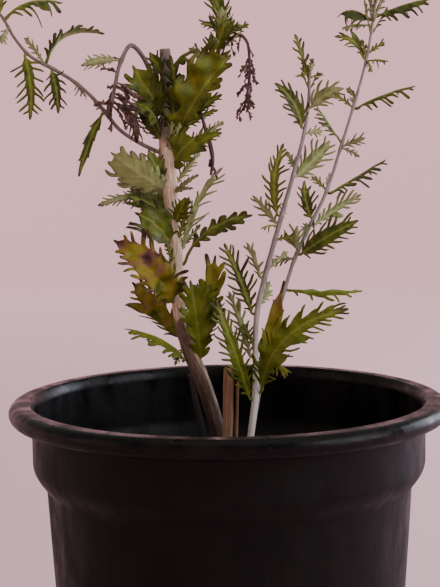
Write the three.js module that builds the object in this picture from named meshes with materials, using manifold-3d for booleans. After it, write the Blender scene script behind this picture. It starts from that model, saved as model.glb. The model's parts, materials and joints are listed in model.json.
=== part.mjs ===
// A Russian sage growing in a round plastic nursery pot: pot, potting mix, a wooden stake,
// one woody stem, two felted shoots, side branches, withered bits and the larger leaves.
// Millimetres, +Z up. The origin is the middle of the pot's underside, +X is to the right
// and -Y is the front.
import * as THREE from 'three';
import { mergeVertices } from 'three/addons/utils/BufferGeometryUtils.js';
import Module from 'manifold-3d';

const wasm = await Module();
wasm.setup();

// ---- Driving dimensions ----
const potHeight = 190;
const rimRadius = 110; // widest point of the turned-down lip
const lipWidth = 10; // how far the lip stands out past its inner edge
const lipDrop = 9.4; // from the lip's top to its lower edge
const lipThickness = 1.8;
const lipOverhang = 11.1; // how far the lip stands out past the band under it
const collarDrop = 30; // from the rim's top to where the band starts to curve in
const stepDrop = 12.7; // height of the rounded step under the band
const stepWidth = 6.7; // how far the step comes in, from the band to the wall
const wallTaper = 8.5; // how much narrower the wall is at the foot than under the step
const footRounding = 4;
const wallThickness = 1.5;
const floorThickness = 2.2;
const drainHoleCount = 8;
const drainHoleRadius = 5;
const drainHoleSides = 12;
const drainInset = 22; // from the foot's edge to the middle of a drain hole
const potSegments = 40;

const soilBelowRim = 46; // from the rim's top to the middle of the potting mix
const soilEdgeDip = 3; // how much lower the potting mix is at the wall
const soilClearance = 0.3;

const stakeWidth = 8;
const stakeThickness = 2.4;
const stakeHeight = 62; // above the potting mix
const stakeDepth = 30; // below it
const splitWidth = 1.2;
const splitLength = 50; // down from the stake's top
const splitPlace = 0.35; // from the slat's middle to the split, for half its width
const splinteredBy = 3; // how much lower the slat's right corner is

const plantHeight = 273; // above the potting mix, to the tip of the topmost leaf
const drawnPlantHeight = 273; // the height that the stem and leaf coordinates below are given for
const growth = plantHeight / drawnPlantHeight;

const woodyStemRadius = 3.4;
const deadStubRadius = 2.3;
const frontShootRadius = 2;
const backShootRadius = 1.6;
const branchRadius = 1.2; // the arching branch, the bent dry shoot and the crown shoot
const strandRadius = 0.8; // the withered spray and the dry strand

const joinClearance = 0.3; // between a stem and what grows on it
const leafThickness = 0.6;
const petioleWidth = 1.4;
const petioleShare = 0.14; // the bare share of a leaf's length
const lobeSpacing = 9; // roughly, from one pair of lobes to the next
const fewestLobes = 3; // pairs on the shortest leaf
const mostLobes = 5;
const lobePlace = 0.85; // where a pair's points stand, for the pitch from pair to pair
const notchPlace = 1.1; // where the notch above them is
const tipPitch = 0.6; // the pitch left past the last pair
const firstFullness = 0.9; // moves the widest pair towards the foot as this grows
const notchShare = 0.45; // how much of the blade is left between two lobes
const leafFold = 0.15; // how far each half rises from the midrib, for its width
const stemSides = 8;
const stemStep = 12; // length of stem to one ring of its mesh
const fewestRings = 6;

const collarRadius = rimRadius - lipOverhang; // outside of the straight band
const shoulderRadius = collarRadius - stepWidth; // outside of the wall just under the step
const footRadius = shoulderRadius - wallTaper;
const shoulderHeight = potHeight - collarDrop - stepDrop;
const soilTop = potHeight - soilBelowRim;

// ---- Stems ----
// Points are [right, back, up], measured from the middle of the potting mix's surface.
// Taper is each point's share of the stem's radius, with one more share at the start of a side
// shoot, which names the stem it grows on and how high.
const stems = {
  woody_stem: {
    look: 'bark',
    sides: 10,
    points: [
      [1, 9, -25], [1, 9, 0], [-6, 8, 29], [-13, 7, 53], [-20, 6, 71], [-24, 6, 89],
      [-25, 8, 110], [-26, 9, 123], [-28, 10, 151], [-29, 10, 171], [-28, 9, 191], [-29, 6, 221],
    ],
    radius: woodyStemRadius,
    taper: [1, 1, 0.97, 0.94, 0.94, 0.88, 0.85, 0.82, 1.06, 0.97, 0.8, 0.62],
  },
  dead_stub: {
    look: 'bark',
    points: [[-10, 2, -20], [-10, 2, 0], [-14, 2, 30], [-17, 2, 46], [-19, 1, 57]],
    radius: deadStubRadius,
    taper: [1, 1, 0.9, 0.8, 0.65],
  },
  front_shoot: {
    look: 'felt',
    points: [
      [8, -6, -25], [8, -6, 0], [11, -6, 25], [14, -8, 51], [14, -9, 73], [15, -10, 90],
      [20, -12, 111], [27, -15, 136], [33, -18, 157], [39, -20, 180], [41, -20, 197], [41, -20, 209],
    ],
    radius: frontShootRadius,
    taper: [1, 1, 0.95, 0.9, 0.85, 0.8, 0.75, 0.7, 0.6, 0.5, 0.4, 0.35],
  },
  back_shoot: {
    look: 'felt',
    points: [
      [9, 6, -25], [9, 6, 0], [12, 7, 24], [16, 8, 47], [21, 11, 70], [30, 15, 98],
      [36, 18, 115], [45, 21, 133], [53, 24, 149], [61, 28, 172], [68, 31, 193],
      [75, 34, 217], [79, 36, 239], [80, 36, 247],
    ],
    radius: backShootRadius,
    taper: [1, 1, 0.95, 0.9, 0.8, 0.75, 0.7, 0.7, 0.65, 0.6, 0.55, 0.55, 0.5, 0.45],
  },
  arching_branch: {
    look: 'felt',
    growsOn: 'woody_stem',
    up: 170,
    points: [
      [-50, 2, 179], [-60, -4, 191], [-70, -10, 202], [-84, -18, 211], [-95, -26, 218],
      [-102, -34, 231], [-107, -38, 238], [-120, -44, 246],
    ],
    radius: branchRadius,
    taper: [1, 0.9, 0.9, 0.85, 0.85, 0.75, 0.65, 0.6, 0.5],
  },
  bent_dry_shoot: {
    look: 'dry',
    growsOn: 'woody_stem',
    up: 199,
    points: [[-40, 0, 217], [-43, -3, 223], [-48, -6, 219], [-52, -9, 207], [-55, -12, 192]],
    radius: branchRadius,
    taper: [1, 0.9, 0.9, 0.9, 0.85, 0.75],
  },
  crown_shoot: {
    look: 'felt',
    growsOn: 'woody_stem',
    up: 180,
    points: [[-13, 17, 200], [-3, 17, 219], [3, 15, 230]],
    radius: branchRadius,
    taper: [0.9, 0.85, 0.75, 0.65],
  },
  withered_spray: {
    look: 'withered',
    growsOn: 'crown_shoot',
    up: 224,
    points: [[10, 12, 229], [13, 10, 218], [13, 9, 205], [10, 8, 190]],
    radius: strandRadius,
    taper: [1, 1, 1, 0.9, 0.75],
  },
  dry_strand: {
    look: 'withered',
    growsOn: 'crown_shoot',
    up: 198,
    points: [[-11, 10, 187], [-8, 8, 176], [-6, 7, 167], [-7, 7, 158]],
    radius: strandRadius,
    taper: [0.9, 0.9, 0.9, 0.9, 0.75],
  },
};

// ---- Leaves ----
// up: how high the leaf joins its stem; reach: from there to its tip; arch: how far its middle
// stands off the straight line; face: where its upper side looks.
const facingFront = [0, -1, 0.4];
const facingUp = [0, -0.4, 1];
const facingBack = [0, 1, 0.4];

const leaves = {
  woody_stem: {
    top_leaf: { up: 213, reach: [16, -6, 10], arch: [1, -1, 1], width: 6, face: facingUp },
    yellow_leaf: { up: 175, reach: [33, -14, 42], arch: [-1, -3, 3], width: 22, look: 'yellow' },
    strip_leaf: { up: 184, reach: [2, -9, 34], arch: [3, -2, -1], width: 5, look: 'yellow' },
    upper_left_leaf: { up: 191, reach: [-17, -12, 22], arch: [-1, -2, 1], width: 13 },
    upper_arching_leaf: { up: 180, reach: [-20, -16, 14], arch: [2, -2, 5], width: 8, face: facingUp },
    upper_right_leaf: { up: 166, reach: [16, -10, 12], arch: [0, -1, 1], width: 12 },
    broad_grey_leaf: { up: 152, reach: [-28, -20, 18], arch: [0, -6, -1], width: 20, look: 'grey' },
    middle_left_leaf: { up: 138, reach: [-22, 12, 14], arch: [0, 2, 1], width: 16 },
    curled_left_leaf: { up: 125, reach: [-19, -16, 15], arch: [2, -4, 1], width: 14 },
    edge_on_leaf: { up: 115, reach: [-29, -6, 9], arch: [1, -1, 3], width: 6, face: facingUp, look: 'grey' },
    long_grey_leaf: { up: 121, reach: [25, 4, 41], arch: [-6, -2, -2], width: 12, look: 'grey' },
    arching_right_leaf: { up: 113, reach: [39, -14, 25], arch: [-6, -1, 4], width: 12 },
    large_withered_leaf: { up: 94, reach: [-31, -20, 33], arch: [5, -4, 0], width: 24, look: 'withered' },
    small_withered_leaf: { up: 77, reach: [-27, 10, 27], arch: [-1, 3, 1], width: 18, look: 'withered' },
    lower_left_leaf: { up: 66, reach: [-33, -18, 17], arch: [4, -3, 2], width: 14, face: facingUp },
    lower_upright_leaf: { up: 64, reach: [-1, -8, 42], arch: [1, -2, -3], width: 12 },
    lower_yellow_leaf: { up: 69, reach: [14, 9, 48], arch: [1, 2, 2], width: 14, look: 'yellow' },
  },
  crown_shoot: {
    crown_leaf: { up: 229, reach: [-10, -2, 28], arch: [1, 0, 0], width: 12 },
  },
  arching_branch: {
    hanging_leaf_outer: { up: 217, reach: [2, -7, -32], arch: [2, -2, -2], width: 12 },
    hanging_leaf_inner: { up: 210, reach: [3, -7, -22], arch: [1, -2, 1], width: 11 },
    branch_rising_leaf: { up: 212, reach: [28, 12, 15], arch: [-6, 0, 5], width: 9, face: facingUp },
    branch_side_leaf: { up: 232, reach: [27, 9, 8], arch: [-4, -2, 3], width: 9, face: facingUp },
    branch_upright_leaf: { up: 235, reach: [3, 2, 20], arch: [0, 0, 0], width: 8 },
    hanging_leaf_narrow: { up: 190, reach: [-13, -6, -32], arch: [1, -1, 5], width: 8 },
  },
  bent_dry_shoot: {
    crumpled_leaf: {
      up: 194, fromTip: true, reach: [11, 6, -20], arch: [3, 2, 1], width: 12, look: 'withered',
    },
  },
  front_shoot: {
    front_low_leaf: { up: 46, reach: [-19, -16, 52], arch: [0, -4, 2], width: 15 },
    front_right_leaf: { up: 50, reach: [45, -20, 43], arch: [-9, -4, 7], width: 17 },
    front_withered_leaf: { up: 57, reach: [15, 6, 48], arch: [0, 0, 0], width: 10, look: 'withered' },
    front_grey_leaf: { up: 68, reach: [-13, -3, 33], arch: [1, -2, -1], width: 9, look: 'grey' },
    front_dark_leaf: { up: 89, reach: [-16, -10, 36], arch: [1, -3, 0], width: 13 },
    front_curled_leaf: { up: 107, reach: [-9, -6, 18], arch: [1, -1, -1], width: 7, look: 'grey' },
    front_small_leaf: { up: 134, reach: [-13, 6, 14], arch: [1, 1, -1], width: 10, look: 'grey' },
    front_tall_leaf: { up: 138, reach: [1, -6, 35], arch: [-3, -2, 0], width: 10 },
    front_pale_leaf: { up: 157, reach: [19, 7, 17], arch: [0, 1, -1], width: 13, look: 'grey' },
    front_broad_leaf: { up: 180, reach: [-15, -7, 21], arch: [3, -2, 0], width: 12 },
    front_upper_pale_leaf: { up: 190, reach: [17, -6, 8], arch: [0, -1, 2], width: 10, look: 'grey' },
    front_tip_leaf: { up: 206, reach: [-7, -2, 19], arch: [1, 0, -1], width: 6 },
  },
  back_shoot: {
    back_narrow_leaf: { up: 99, reach: [39, -11, -1], arch: [0, -4, 0], width: 6, face: facingUp },
    back_large_leaf: { up: 117, reach: [31, -11, 17], arch: [-2, -2, 0], width: 15 },
    back_folded_leaf: { up: 119, reach: [-1, -10, 13], arch: [-1, -2, 0], width: 12, look: 'grey' },
    back_pale_leaf: { up: 133, reach: [27, 8, 14], arch: [-1, 2, 0], width: 10, look: 'grey' },
    back_dark_leaf: { up: 135, reach: [-5, -4, 20], arch: [-1, -2, 0], width: 10 },
    back_middle_leaf: { up: 149, reach: [32, 10, 16], arch: [-3, 1, -2], width: 8, face: facingUp },
    back_right_leaf: { up: 193, reach: [32, -3, 10], arch: [-1, -2, 1], width: 8, face: facingUp },
    back_left_leaf: { up: 218, reach: [-17, -2, 11], arch: [3, -1, 2], width: 8 },
    back_upper_left_leaf: { up: 238, reach: [-19, 2, 1], arch: [-3, -1, 4], width: 6, face: facingUp },
    back_upper_right_leaf: { up: 240, reach: [30, 0, 8], arch: [0, 0, 1], width: 6, face: facingUp },
    back_top_leaf: { up: 246, reach: [3, 2, 27], arch: [0, 0, 0], width: 5 },
  },
};

// ---- Materials ----
const looks = {
  potPlastic: { color: 0x1b1a1c, roughness: 0.45 },
  pottingMix: { color: 0x2b211b, roughness: 0.95 },
  stakeWood: { color: 0xa08060, roughness: 0.8 },
  bark: { color: 0x8a7868, roughness: 0.85 },
  felt: { color: 0xb4b2a4, roughness: 0.8 },
  dry: { color: 0xa89888, roughness: 0.85 },
  green: { color: 0x76803a, roughness: 0.7 },
  grey: { color: 0xa8ac90, roughness: 0.8 },
  yellow: { color: 0xa09a3a, roughness: 0.7 },
  withered: { color: 0x7a5c3c, roughness: 0.85 },
};

const group = new THREE.Group();

function addMesh(name, geometry, look) {
  const material = new THREE.MeshStandardMaterial({ ...looks[look], metalness: 0 });
  const mesh = new THREE.Mesh(geometry, material);
  mesh.name = name;
  group.add(mesh);
}

// ---- Solids ----
const weldDistance = 1e-4;

function toSolid(geometry) {
  const bare = geometry.clone();
  bare.deleteAttribute('normal');
  bare.deleteAttribute('uv');
  const merged = mergeVertices(bare, weldDistance);
  const corners = merged.index.array;
  const kept = [];
  for (let i = 0; i < corners.length; i += 3) {
    const [a, b, c] = corners.slice(i, i + 3);
    if (a !== b && b !== c && c !== a) kept.push(a, b, c);
  }
  return new wasm.Manifold(new wasm.Mesh({
    numProp: 3,
    vertProperties: new Float32Array(merged.attributes.position.array),
    triVerts: new Uint32Array(kept),
  }));
}

function toGeometry(solid) {
  const mesh = solid.getMesh();
  const geometry = new THREE.BufferGeometry();
  geometry.setAttribute('position', new THREE.BufferAttribute(mesh.vertProperties, 3));
  geometry.setIndex(new THREE.BufferAttribute(mesh.triVerts, 1));
  return geometry;
}

function turned(profile) {
  const geometry = new THREE.LatheGeometry(profile, potSegments);
  geometry.rotateX(Math.PI / 2);
  return geometry;
}

const v = (x, y) => new THREE.Vector2(x, y);

function arc(centreX, centreY, radius, fromDegrees, toDegrees, steps) {
  const points = [];
  for (let i = 0; i <= steps; i++) {
    const angle = THREE.MathUtils.degToRad(fromDegrees + ((toDegrees - fromDegrees) * i) / steps);
    points.push(v(centreX + radius * Math.cos(angle), centreY + radius * Math.sin(angle)));
  }
  return points;
}

// The wall's rounded step, from the narrow wall up to the collar, for either face of the wall
function stepCurve(inset) {
  const steps = 5;
  const points = [];
  for (let i = 0; i <= steps; i++) {
    const share = i / steps;
    const bulge = Math.sin((share * Math.PI) / 2);
    const radius = shoulderRadius + (collarRadius - shoulderRadius) * bulge - inset;
    points.push(v(radius, shoulderHeight + stepDrop * share));
  }
  return points;
}

// ---- Pot ----
function potProfile() {
  const innerLip = rimRadius - lipWidth;
  const innerCollar = collarRadius - wallThickness;
  const lipBend = lipDrop / 2;
  const lipTopRadius = rimRadius - lipBend;
  const underLip = potHeight - lipThickness;
  const curlEnd = -60; // the lip's curl ends this many degrees under level
  const outside = [
    v(0, 0),
    ...arc(footRadius - footRounding, footRounding, footRounding, -90, 0, 3),
    ...stepCurve(0),
    v(collarRadius, underLip),
    ...arc(lipTopRadius, potHeight - lipBend, lipBend - lipThickness, 90, curlEnd, 4),
    ...arc(lipTopRadius, potHeight - lipBend, lipBend, curlEnd, 90, 6),
  ];
  const inside = [
    v(innerLip, potHeight),
    v(innerCollar, potHeight - (innerLip - innerCollar)),
    ...stepCurve(wallThickness).reverse(),
    v(footRadius - wallThickness, floorThickness + footRounding),
    v(footRadius - wallThickness - footRounding / 2, floorThickness),
    v(0, floorThickness),
  ];
  return [...outside, ...inside];
}

function makePot() {
  let pot = toSolid(turned(potProfile()));
  const drill = new THREE.CylinderGeometry(
    drainHoleRadius, drainHoleRadius, floorThickness * 4, drainHoleSides,
  );
  drill.rotateX(Math.PI / 2);
  for (let i = 0; i < drainHoleCount; i++) {
    const angle = (i / drainHoleCount) * 2 * Math.PI;
    const fromAxis = footRadius - drainInset;
    const hole = drill.clone();
    hole.translate(fromAxis * Math.cos(angle), fromAxis * Math.sin(angle), 0);
    pot = pot.subtract(toSolid(hole));
  }
  addMesh('pot', toGeometry(pot), 'potPlastic');
}

// ---- Stem shapes ----
const rise = (point) => new THREE.Vector3(point[0] * growth, point[1] * growth, point[2] * growth + soilTop);
const grown = {};

// Where a stem reaches a height, as a share of its length
function shareAtHeight(stem, up, fromTip) {
  const height = up * growth + soilTop;
  const samples = 400;
  for (let i = 0; i < samples; i++) {
    const share = i / samples;
    const here = fromTip ? 1 - share : share;
    const next = fromTip ? here - 1 / samples : here + 1 / samples;
    const z = stem.curve.getPointAt(here).z;
    const nextZ = stem.curve.getPointAt(THREE.MathUtils.clamp(next, 0, 1)).z;
    if ((z - height) * (nextZ - height) <= 0) return here;
  }
  throw new Error('no height ' + up + ' on this stem');
}

function radiusAt(stem, share) {
  const place = share * (stem.taper.length - 1);
  const index = Math.min(Math.floor(place), stem.taper.length - 2);
  return stem.radius * THREE.MathUtils.lerp(stem.taper[index], stem.taper[index + 1], place - index);
}

// A point just off a stem's surface, on the side that a direction points to
function besideStem(stem, share, direction, gap) {
  const centre = stem.curve.getPointAt(share);
  const along = stem.curve.getTangentAt(share);
  const outward = direction.clone().addScaledVector(along, -direction.dot(along)).normalize();
  return centre.addScaledVector(outward, radiusAt(stem, share) + gap);
}

// A round bar with closed ends bent along a stem's curve, thickened by a margin on every side
function stemGeometry(stem, margin) {
  const sides = stem.sides ?? stemSides;
  const steps = Math.max(fewestRings, Math.round(stem.curve.getLength() / stemStep));
  const frames = stem.curve.computeFrenetFrames(steps, false);
  const geometry = new THREE.CylinderGeometry(1, 1, 1, sides, steps);
  const position = geometry.attributes.position;
  const point = new THREE.Vector3();
  for (let i = 0; i < position.count; i++) {
    point.fromBufferAttribute(position, i);
    const ring = Math.round((point.y + 0.5) * steps);
    const share = ring / steps;
    const radius = radiusAt(stem, share) + margin;
    const place = stem.curve.getPointAt(share);
    place.addScaledVector(frames.normals[ring], point.x * radius);
    place.addScaledVector(frames.binormals[ring], -point.z * radius);
    if (ring === 0) place.addScaledVector(frames.tangents[0], -margin);
    position.setXYZ(i, place.x, place.y, place.z);
  }
  return geometry;
}

function growStem(name) {
  const spec = stems[name];
  const points = spec.points.map(rise);
  if (spec.growsOn) {
    const parent = grown[spec.growsOn];
    const share = shareAtHeight(parent, spec.up, false);
    const direction = points[0].clone().sub(parent.curve.getPointAt(share));
    points.unshift(besideStem(parent, share, direction, joinClearance + spec.radius * 0.6));
  }
  const curve = new THREE.CatmullRomCurve3(points, false, 'centripetal');
  grown[name] = { ...spec, curve };
  addMesh(name, stemGeometry(grown[name], 0), spec.look);
}

// ---- Leaf shapes ----
// Stations along a flat leaf, from the foot of its stalk to its tip: [distance, half width].
// After the bare stalk each pair of lobes has a station at its points and one at its notch.
function leafStations(length, width) {
  const stalk = length * petioleShare;
  const pairs = THREE.MathUtils.clamp(Math.round(length / lobeSpacing), fewestLobes, mostLobes);
  const pitch = (length - stalk) / (pairs + tipPitch);
  const stations = [[0, petioleWidth / 2], [stalk, petioleWidth / 2]];
  for (let i = 0; i < pairs; i++) {
    const fullness = Math.sin((Math.PI * (i + firstFullness)) / (pairs + firstFullness));
    const reach = Math.max((width / 2) * fullness, petioleWidth);
    stations.push([stalk + pitch * (i + lobePlace), reach]);
    stations.push([stalk + pitch * (i + notchPlace), Math.max(reach * notchShare, petioleWidth / 2)]);
  }
  stations.push([length, petioleWidth / 4]);
  return stations;
}

function growLeaf(name, stem, spec) {
  const share = shareAtHeight(stem, spec.up, spec.fromTip);
  const reach = new THREE.Vector3(...spec.reach).multiplyScalar(growth);
  const base = besideStem(stem, share, reach, joinClearance + petioleWidth / 2);
  const tip = stem.curve.getPointAt(share).add(reach);
  const middle = base.clone().lerp(tip, 0.5).addScaledVector(new THREE.Vector3(...spec.arch), 2 * growth);
  const spine = new THREE.QuadraticBezierCurve3(base, middle, tip);
  const length = spine.getLength();
  const face = new THREE.Vector3(...(spec.face ?? (spec.look === 'grey' ? facingBack : facingFront)));
  const stations = leafStations(length, spec.width * growth);
  const steps = stations.length - 1;
  const geometry = new THREE.BoxGeometry(1, 2, 1, steps, 2, 1);
  const position = geometry.attributes.position;
  for (let i = 0; i < position.count; i++) {
    const [distance, halfWidth] = stations[Math.round((position.getX(i) + 0.5) * steps)];
    const across = position.getY(i) * halfWidth;
    const lift = position.getZ(i) * leafThickness + Math.abs(across) * leafFold;
    const tangent = spine.getTangentAt(distance / length);
    const side = face.clone().cross(tangent).normalize();
    const upper = tangent.clone().cross(side);
    const place = spine.getPointAt(distance / length);
    place.addScaledVector(side, across);
    place.addScaledVector(upper, lift);
    position.setXYZ(i, place.x, place.y, place.z);
  }
  addMesh(name, geometry, spec.look ?? 'green');
}

// ---- Stake ----
// A flat slat, split down from its top, leaning a little to the right
const stakeFoot = [0, -4];
const stakeLean = 2; // how far the top stands right of the foot
function stakeGeometry(margin) {
  const half = stakeWidth / 2 + margin;
  const bottom = -stakeDepth - margin;
  const shape = new THREE.Shape();
  shape.moveTo(-half, bottom);
  shape.lineTo(half, bottom);
  shape.lineTo(half, stakeHeight - splinteredBy);
  if (margin === 0) {
    const splitX = half * splitPlace;
    shape.lineTo(splitX + splitWidth, stakeHeight - splinteredBy / 3);
    shape.lineTo(splitX + splitWidth / 2, stakeHeight - splitLength);
    shape.lineTo(splitX, stakeHeight);
  }
  shape.lineTo(-half, stakeHeight - splinteredBy / 2);
  const depth = stakeThickness + 2 * margin;
  const geometry = new THREE.ExtrudeGeometry(shape, { depth, bevelEnabled: false });
  geometry.translate(0, 0, -depth / 2);
  geometry.rotateX(Math.PI / 2);
  geometry.rotateY(Math.atan2(stakeLean, stakeHeight));
  geometry.translate(stakeFoot[0] * growth, stakeFoot[1] * growth, soilTop);
  return geometry;
}

// ---- Potting mix ----
// It fills the pot with a gap all round, and has a pocket for everything that stands in it.
function makeSoil() {
  const inset = wallThickness + 2 * soilClearance;
  const edgeHeight = Math.min(soilTop - soilEdgeDip, shoulderHeight);
  const wallAt = (height) => footRadius + (wallTaper * height) / shoulderHeight - inset;
  const bottom = floorThickness + soilClearance;
  const profile = [
    v(0, bottom),
    v(footRadius - inset - footRounding, bottom),
    v(wallAt(bottom + footRounding), bottom + footRounding),
  ];
  const domeSteps = 3;
  for (let i = domeSteps; i >= 0; i--) {
    const share = i / domeSteps;
    profile.push(v(wallAt(edgeHeight) * share, soilTop - (soilTop - edgeHeight) * share ** 2));
  }
  let soil = toSolid(turned(profile));
  for (const stem of Object.values(grown).filter((each) => each.curve.getPointAt(0).z < soilTop)) {
    soil = soil.subtract(toSolid(stemGeometry(stem, soilClearance)));
  }
  soil = soil.subtract(toSolid(stakeGeometry(soilClearance)));
  addMesh('potting_mix', toGeometry(soil), 'pottingMix');
}

makePot();
Object.keys(stems).forEach(growStem);
addMesh('stake', stakeGeometry(0), 'stakeWood');
makeSoil();
for (const [stemName, onStem] of Object.entries(leaves)) {
  for (const [name, spec] of Object.entries(onStem)) growLeaf(name, grown[stemName], spec);
}

export default group;
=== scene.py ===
# A young Russian sage in a black nursery pot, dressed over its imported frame.
# Shapes are worked out in millimetres and turned to metres when a piece is made.
import json
import math
import random
from functools import partial

import bmesh
import bpy
import numpy as np
from mathutils import Matrix, Vector, noise
from mathutils.geometry import delaunay_2d_cdt


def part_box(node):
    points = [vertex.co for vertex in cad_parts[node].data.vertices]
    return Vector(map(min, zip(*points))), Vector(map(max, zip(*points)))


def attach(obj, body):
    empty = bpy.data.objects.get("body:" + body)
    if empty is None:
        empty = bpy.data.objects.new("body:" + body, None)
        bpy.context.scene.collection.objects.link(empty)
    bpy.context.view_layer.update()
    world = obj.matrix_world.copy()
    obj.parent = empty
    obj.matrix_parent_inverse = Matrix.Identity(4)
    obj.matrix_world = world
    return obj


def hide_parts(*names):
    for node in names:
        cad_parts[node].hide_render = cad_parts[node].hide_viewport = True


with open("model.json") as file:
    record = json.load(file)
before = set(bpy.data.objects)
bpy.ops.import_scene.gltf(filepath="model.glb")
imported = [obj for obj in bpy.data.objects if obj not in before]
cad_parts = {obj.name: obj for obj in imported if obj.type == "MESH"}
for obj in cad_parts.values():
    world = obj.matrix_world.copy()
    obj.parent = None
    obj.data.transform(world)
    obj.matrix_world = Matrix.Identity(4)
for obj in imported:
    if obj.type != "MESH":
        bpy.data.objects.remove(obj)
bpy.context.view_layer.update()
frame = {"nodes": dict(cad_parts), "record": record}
mm = 0.001
slotOf = {part["node"]: part["material_slot"] for part in frame["record"]["subparts"]}
print("frame loaded:", len(frame["nodes"]), "nodes")


cameraSettings = {
    "before": 628,  # mm in front of the pot's axis
    "aboveRim": 112.3,
    "leftOf": 3.3,
    "pitchDown": 5.46,  # degrees
    "roll": -0.84,
    "lens": 76.7,
    "sensor": 36,
}


def addCamera(settings):
    camera = bpy.data.objects.new("camera", bpy.data.cameras.new("camera"))
    camera.data.lens = settings["lens"]
    camera.data.sensor_width = settings["sensor"]
    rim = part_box("pot")[1].z
    place = Vector((-settings["leftOf"] * mm, -settings["before"] * mm, rim + settings["aboveRim"] * mm))
    tilt = Matrix.Rotation(math.radians(90 - settings["pitchDown"]), 4, "X")
    roll = Matrix.Rotation(math.radians(settings["roll"]), 4, "Z")
    camera.matrix_world = Matrix.Translation(place) @ tilt @ roll
    bpy.context.scene.collection.objects.link(camera)
    bpy.context.scene.camera = camera


addCamera(cameraSettings)
print("camera placed")


def hexColour(code):
    channels = [int(code[i:i + 2], 16) / 255 for i in (1, 3, 5)]
    return [c / 12.92 if c <= 0.04045 else ((c + 0.055) / 1.055) ** 2.4 for c in channels] + [1]


def linkTo(node, links):
    for name, source in links.items():
        if hasattr(source, "outputs"):  # a node stands for its first output, or its mixed colour
            source = source.outputs[2 if source.type == "MIX" else 0]
        node.id_data.links.new(source, node.inputs[name])


def addNode(tree, kind, settings=None, links=None):
    node = tree.nodes.new(kind)
    for name, value in (settings or {}).items():
        if str(value).startswith("#"):
            value = hexColour(value)
        if name == "stops":  # a ramp's colours by place
            elements = node.color_ramp.elements
            while len(elements) < len(value):
                elements.new(0.5)
            for element, (place, colour) in zip(elements, sorted(value.items())):
                element.position = place
                element.color = hexColour(colour)
        elif isinstance(name, int) or name in node.inputs:
            node.inputs[name].default_value = value
        else:
            setattr(node, name, value)
    linkTo(node, links or {})
    return node


def newMaterial(name, shader):
    material = bpy.data.materials.new(name)
    material.use_nodes = True
    material.node_tree.nodes.clear()
    add = partial(addNode, material.node_tree)
    surface = add("ShaderNodeBsdfPrincipled", shader)
    add("ShaderNodeOutputMaterial", links={"Surface": surface})
    return material, add, surface


def perMm(size):  # a texture's scale for bumps of that size in mm, on coordinates in metres
    return 1 / (size * mm)


# Polypropylene, injection moulded with carbon black: near black and satin, with soft broad
# highlights, a fine orange-peel skin, dried water marks and dust that lies on the lip
plasticSettings = {
    "colour": "#040404",
    "bloom": "#15130f",  # brownish, where the surface is chalky
    "dust": "#8d8278",
    "skin": 1.4,  # mm
    "cloud": 38,
    "mark": 13,
    "speck": 1.1,
    "dent": 17,  # the thin wall is uneven, so its highlights break up
    "dentDepth": 0.6,
    "skinDepth": 0.12,
}


def makePlastic(settings):
    material, add, surface = newMaterial(
        "mouldedPolypropylene", {"IOR": 1.49, "Specular IOR Level": 0.11},
    )
    place = add("ShaderNodeTexCoord").outputs["Object"]
    drawn = add("ShaderNodeMapping", {"Scale": (1, 1, 0.5)}, {"Vector": place})
    lip = add("ShaderNodeAttribute", {"attribute_name": "lip"}).outputs["Fac"]
    noises = {}
    for title, detail, roughness in (
        ("cloud", 5, 0.6), ("mark", 6, 0.62), ("speck", 3, 0.7), ("skin", 2, 0.5), ("dent", 3, 0.5),
    ):
        noises[title] = add(
            "ShaderNodeTexNoise",
            {"Scale": perMm(settings[title]), "Detail": detail, "Roughness": roughness},
            {"Vector": drawn if title == "mark" else place},
        )
    shares = {}
    for title, source, start, end, low, high in (
        ("bloom", "mark", 0.42, 0.72, 0, 0.7), ("dust", "speck", 0.64, 0.74, 0, 0.5),
        ("patch", "cloud", 0.42, 0.62, 0, 1), ("matt", "mark", 0.34, 0.66, 0.34, 0.66),
    ):
        shares[title] = add(
            "ShaderNodeMapRange",
            {"From Min": start, "From Max": end, "To Min": low, "To Max": high}, {"Value": noises[source]},
        )
    bloomed = add(
        "ShaderNodeMix",
        {"data_type": "RGBA", 6: settings["colour"], 7: settings["bloom"]},
        {0: shares["bloom"]},
    )
    onLip = add("ShaderNodeMath", {"operation": "MULTIPLY_ADD", 1: 0.7, 2: 0.25}, {0: lip})
    patchy = add("ShaderNodeMath", {"operation": "MULTIPLY"}, {0: shares["dust"], 1: shares["patch"]})
    dust = add("ShaderNodeMath", {"operation": "MULTIPLY"}, {0: patchy, 1: onLip})
    dusty = add("ShaderNodeMix", {"data_type": "RGBA", 7: settings["dust"]}, {0: dust, 6: bloomed})
    # hands have polished the lip
    roughness = add(
        "ShaderNodeMath", {"operation": "MULTIPLY_ADD", 1: -0.18}, {0: lip, 2: shares["matt"]},
    )
    dented = add(
        "ShaderNodeBump", {"Strength": 1, "Distance": settings["dentDepth"] * mm},
        {"Height": noises["dent"]},
    )
    bump = add(
        "ShaderNodeBump", {"Strength": 0.12, "Distance": settings["skinDepth"] * mm},
        {"Height": noises["skin"], "Normal": dented},
    )
    linkTo(surface, {"Base Color": dusty, "Roughness": roughness, "Normal": bump})
    return material


# Peat and composted bark: dark, matt and crumbly, with paler fibres and grit
compostSettings = {
    "dark": "#1c1612", "light": "#4a3a2c", "grit": "#8a7c6a", "crumb": 3.2, "grain": 0.7, "relief": 0.5,
}


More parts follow.
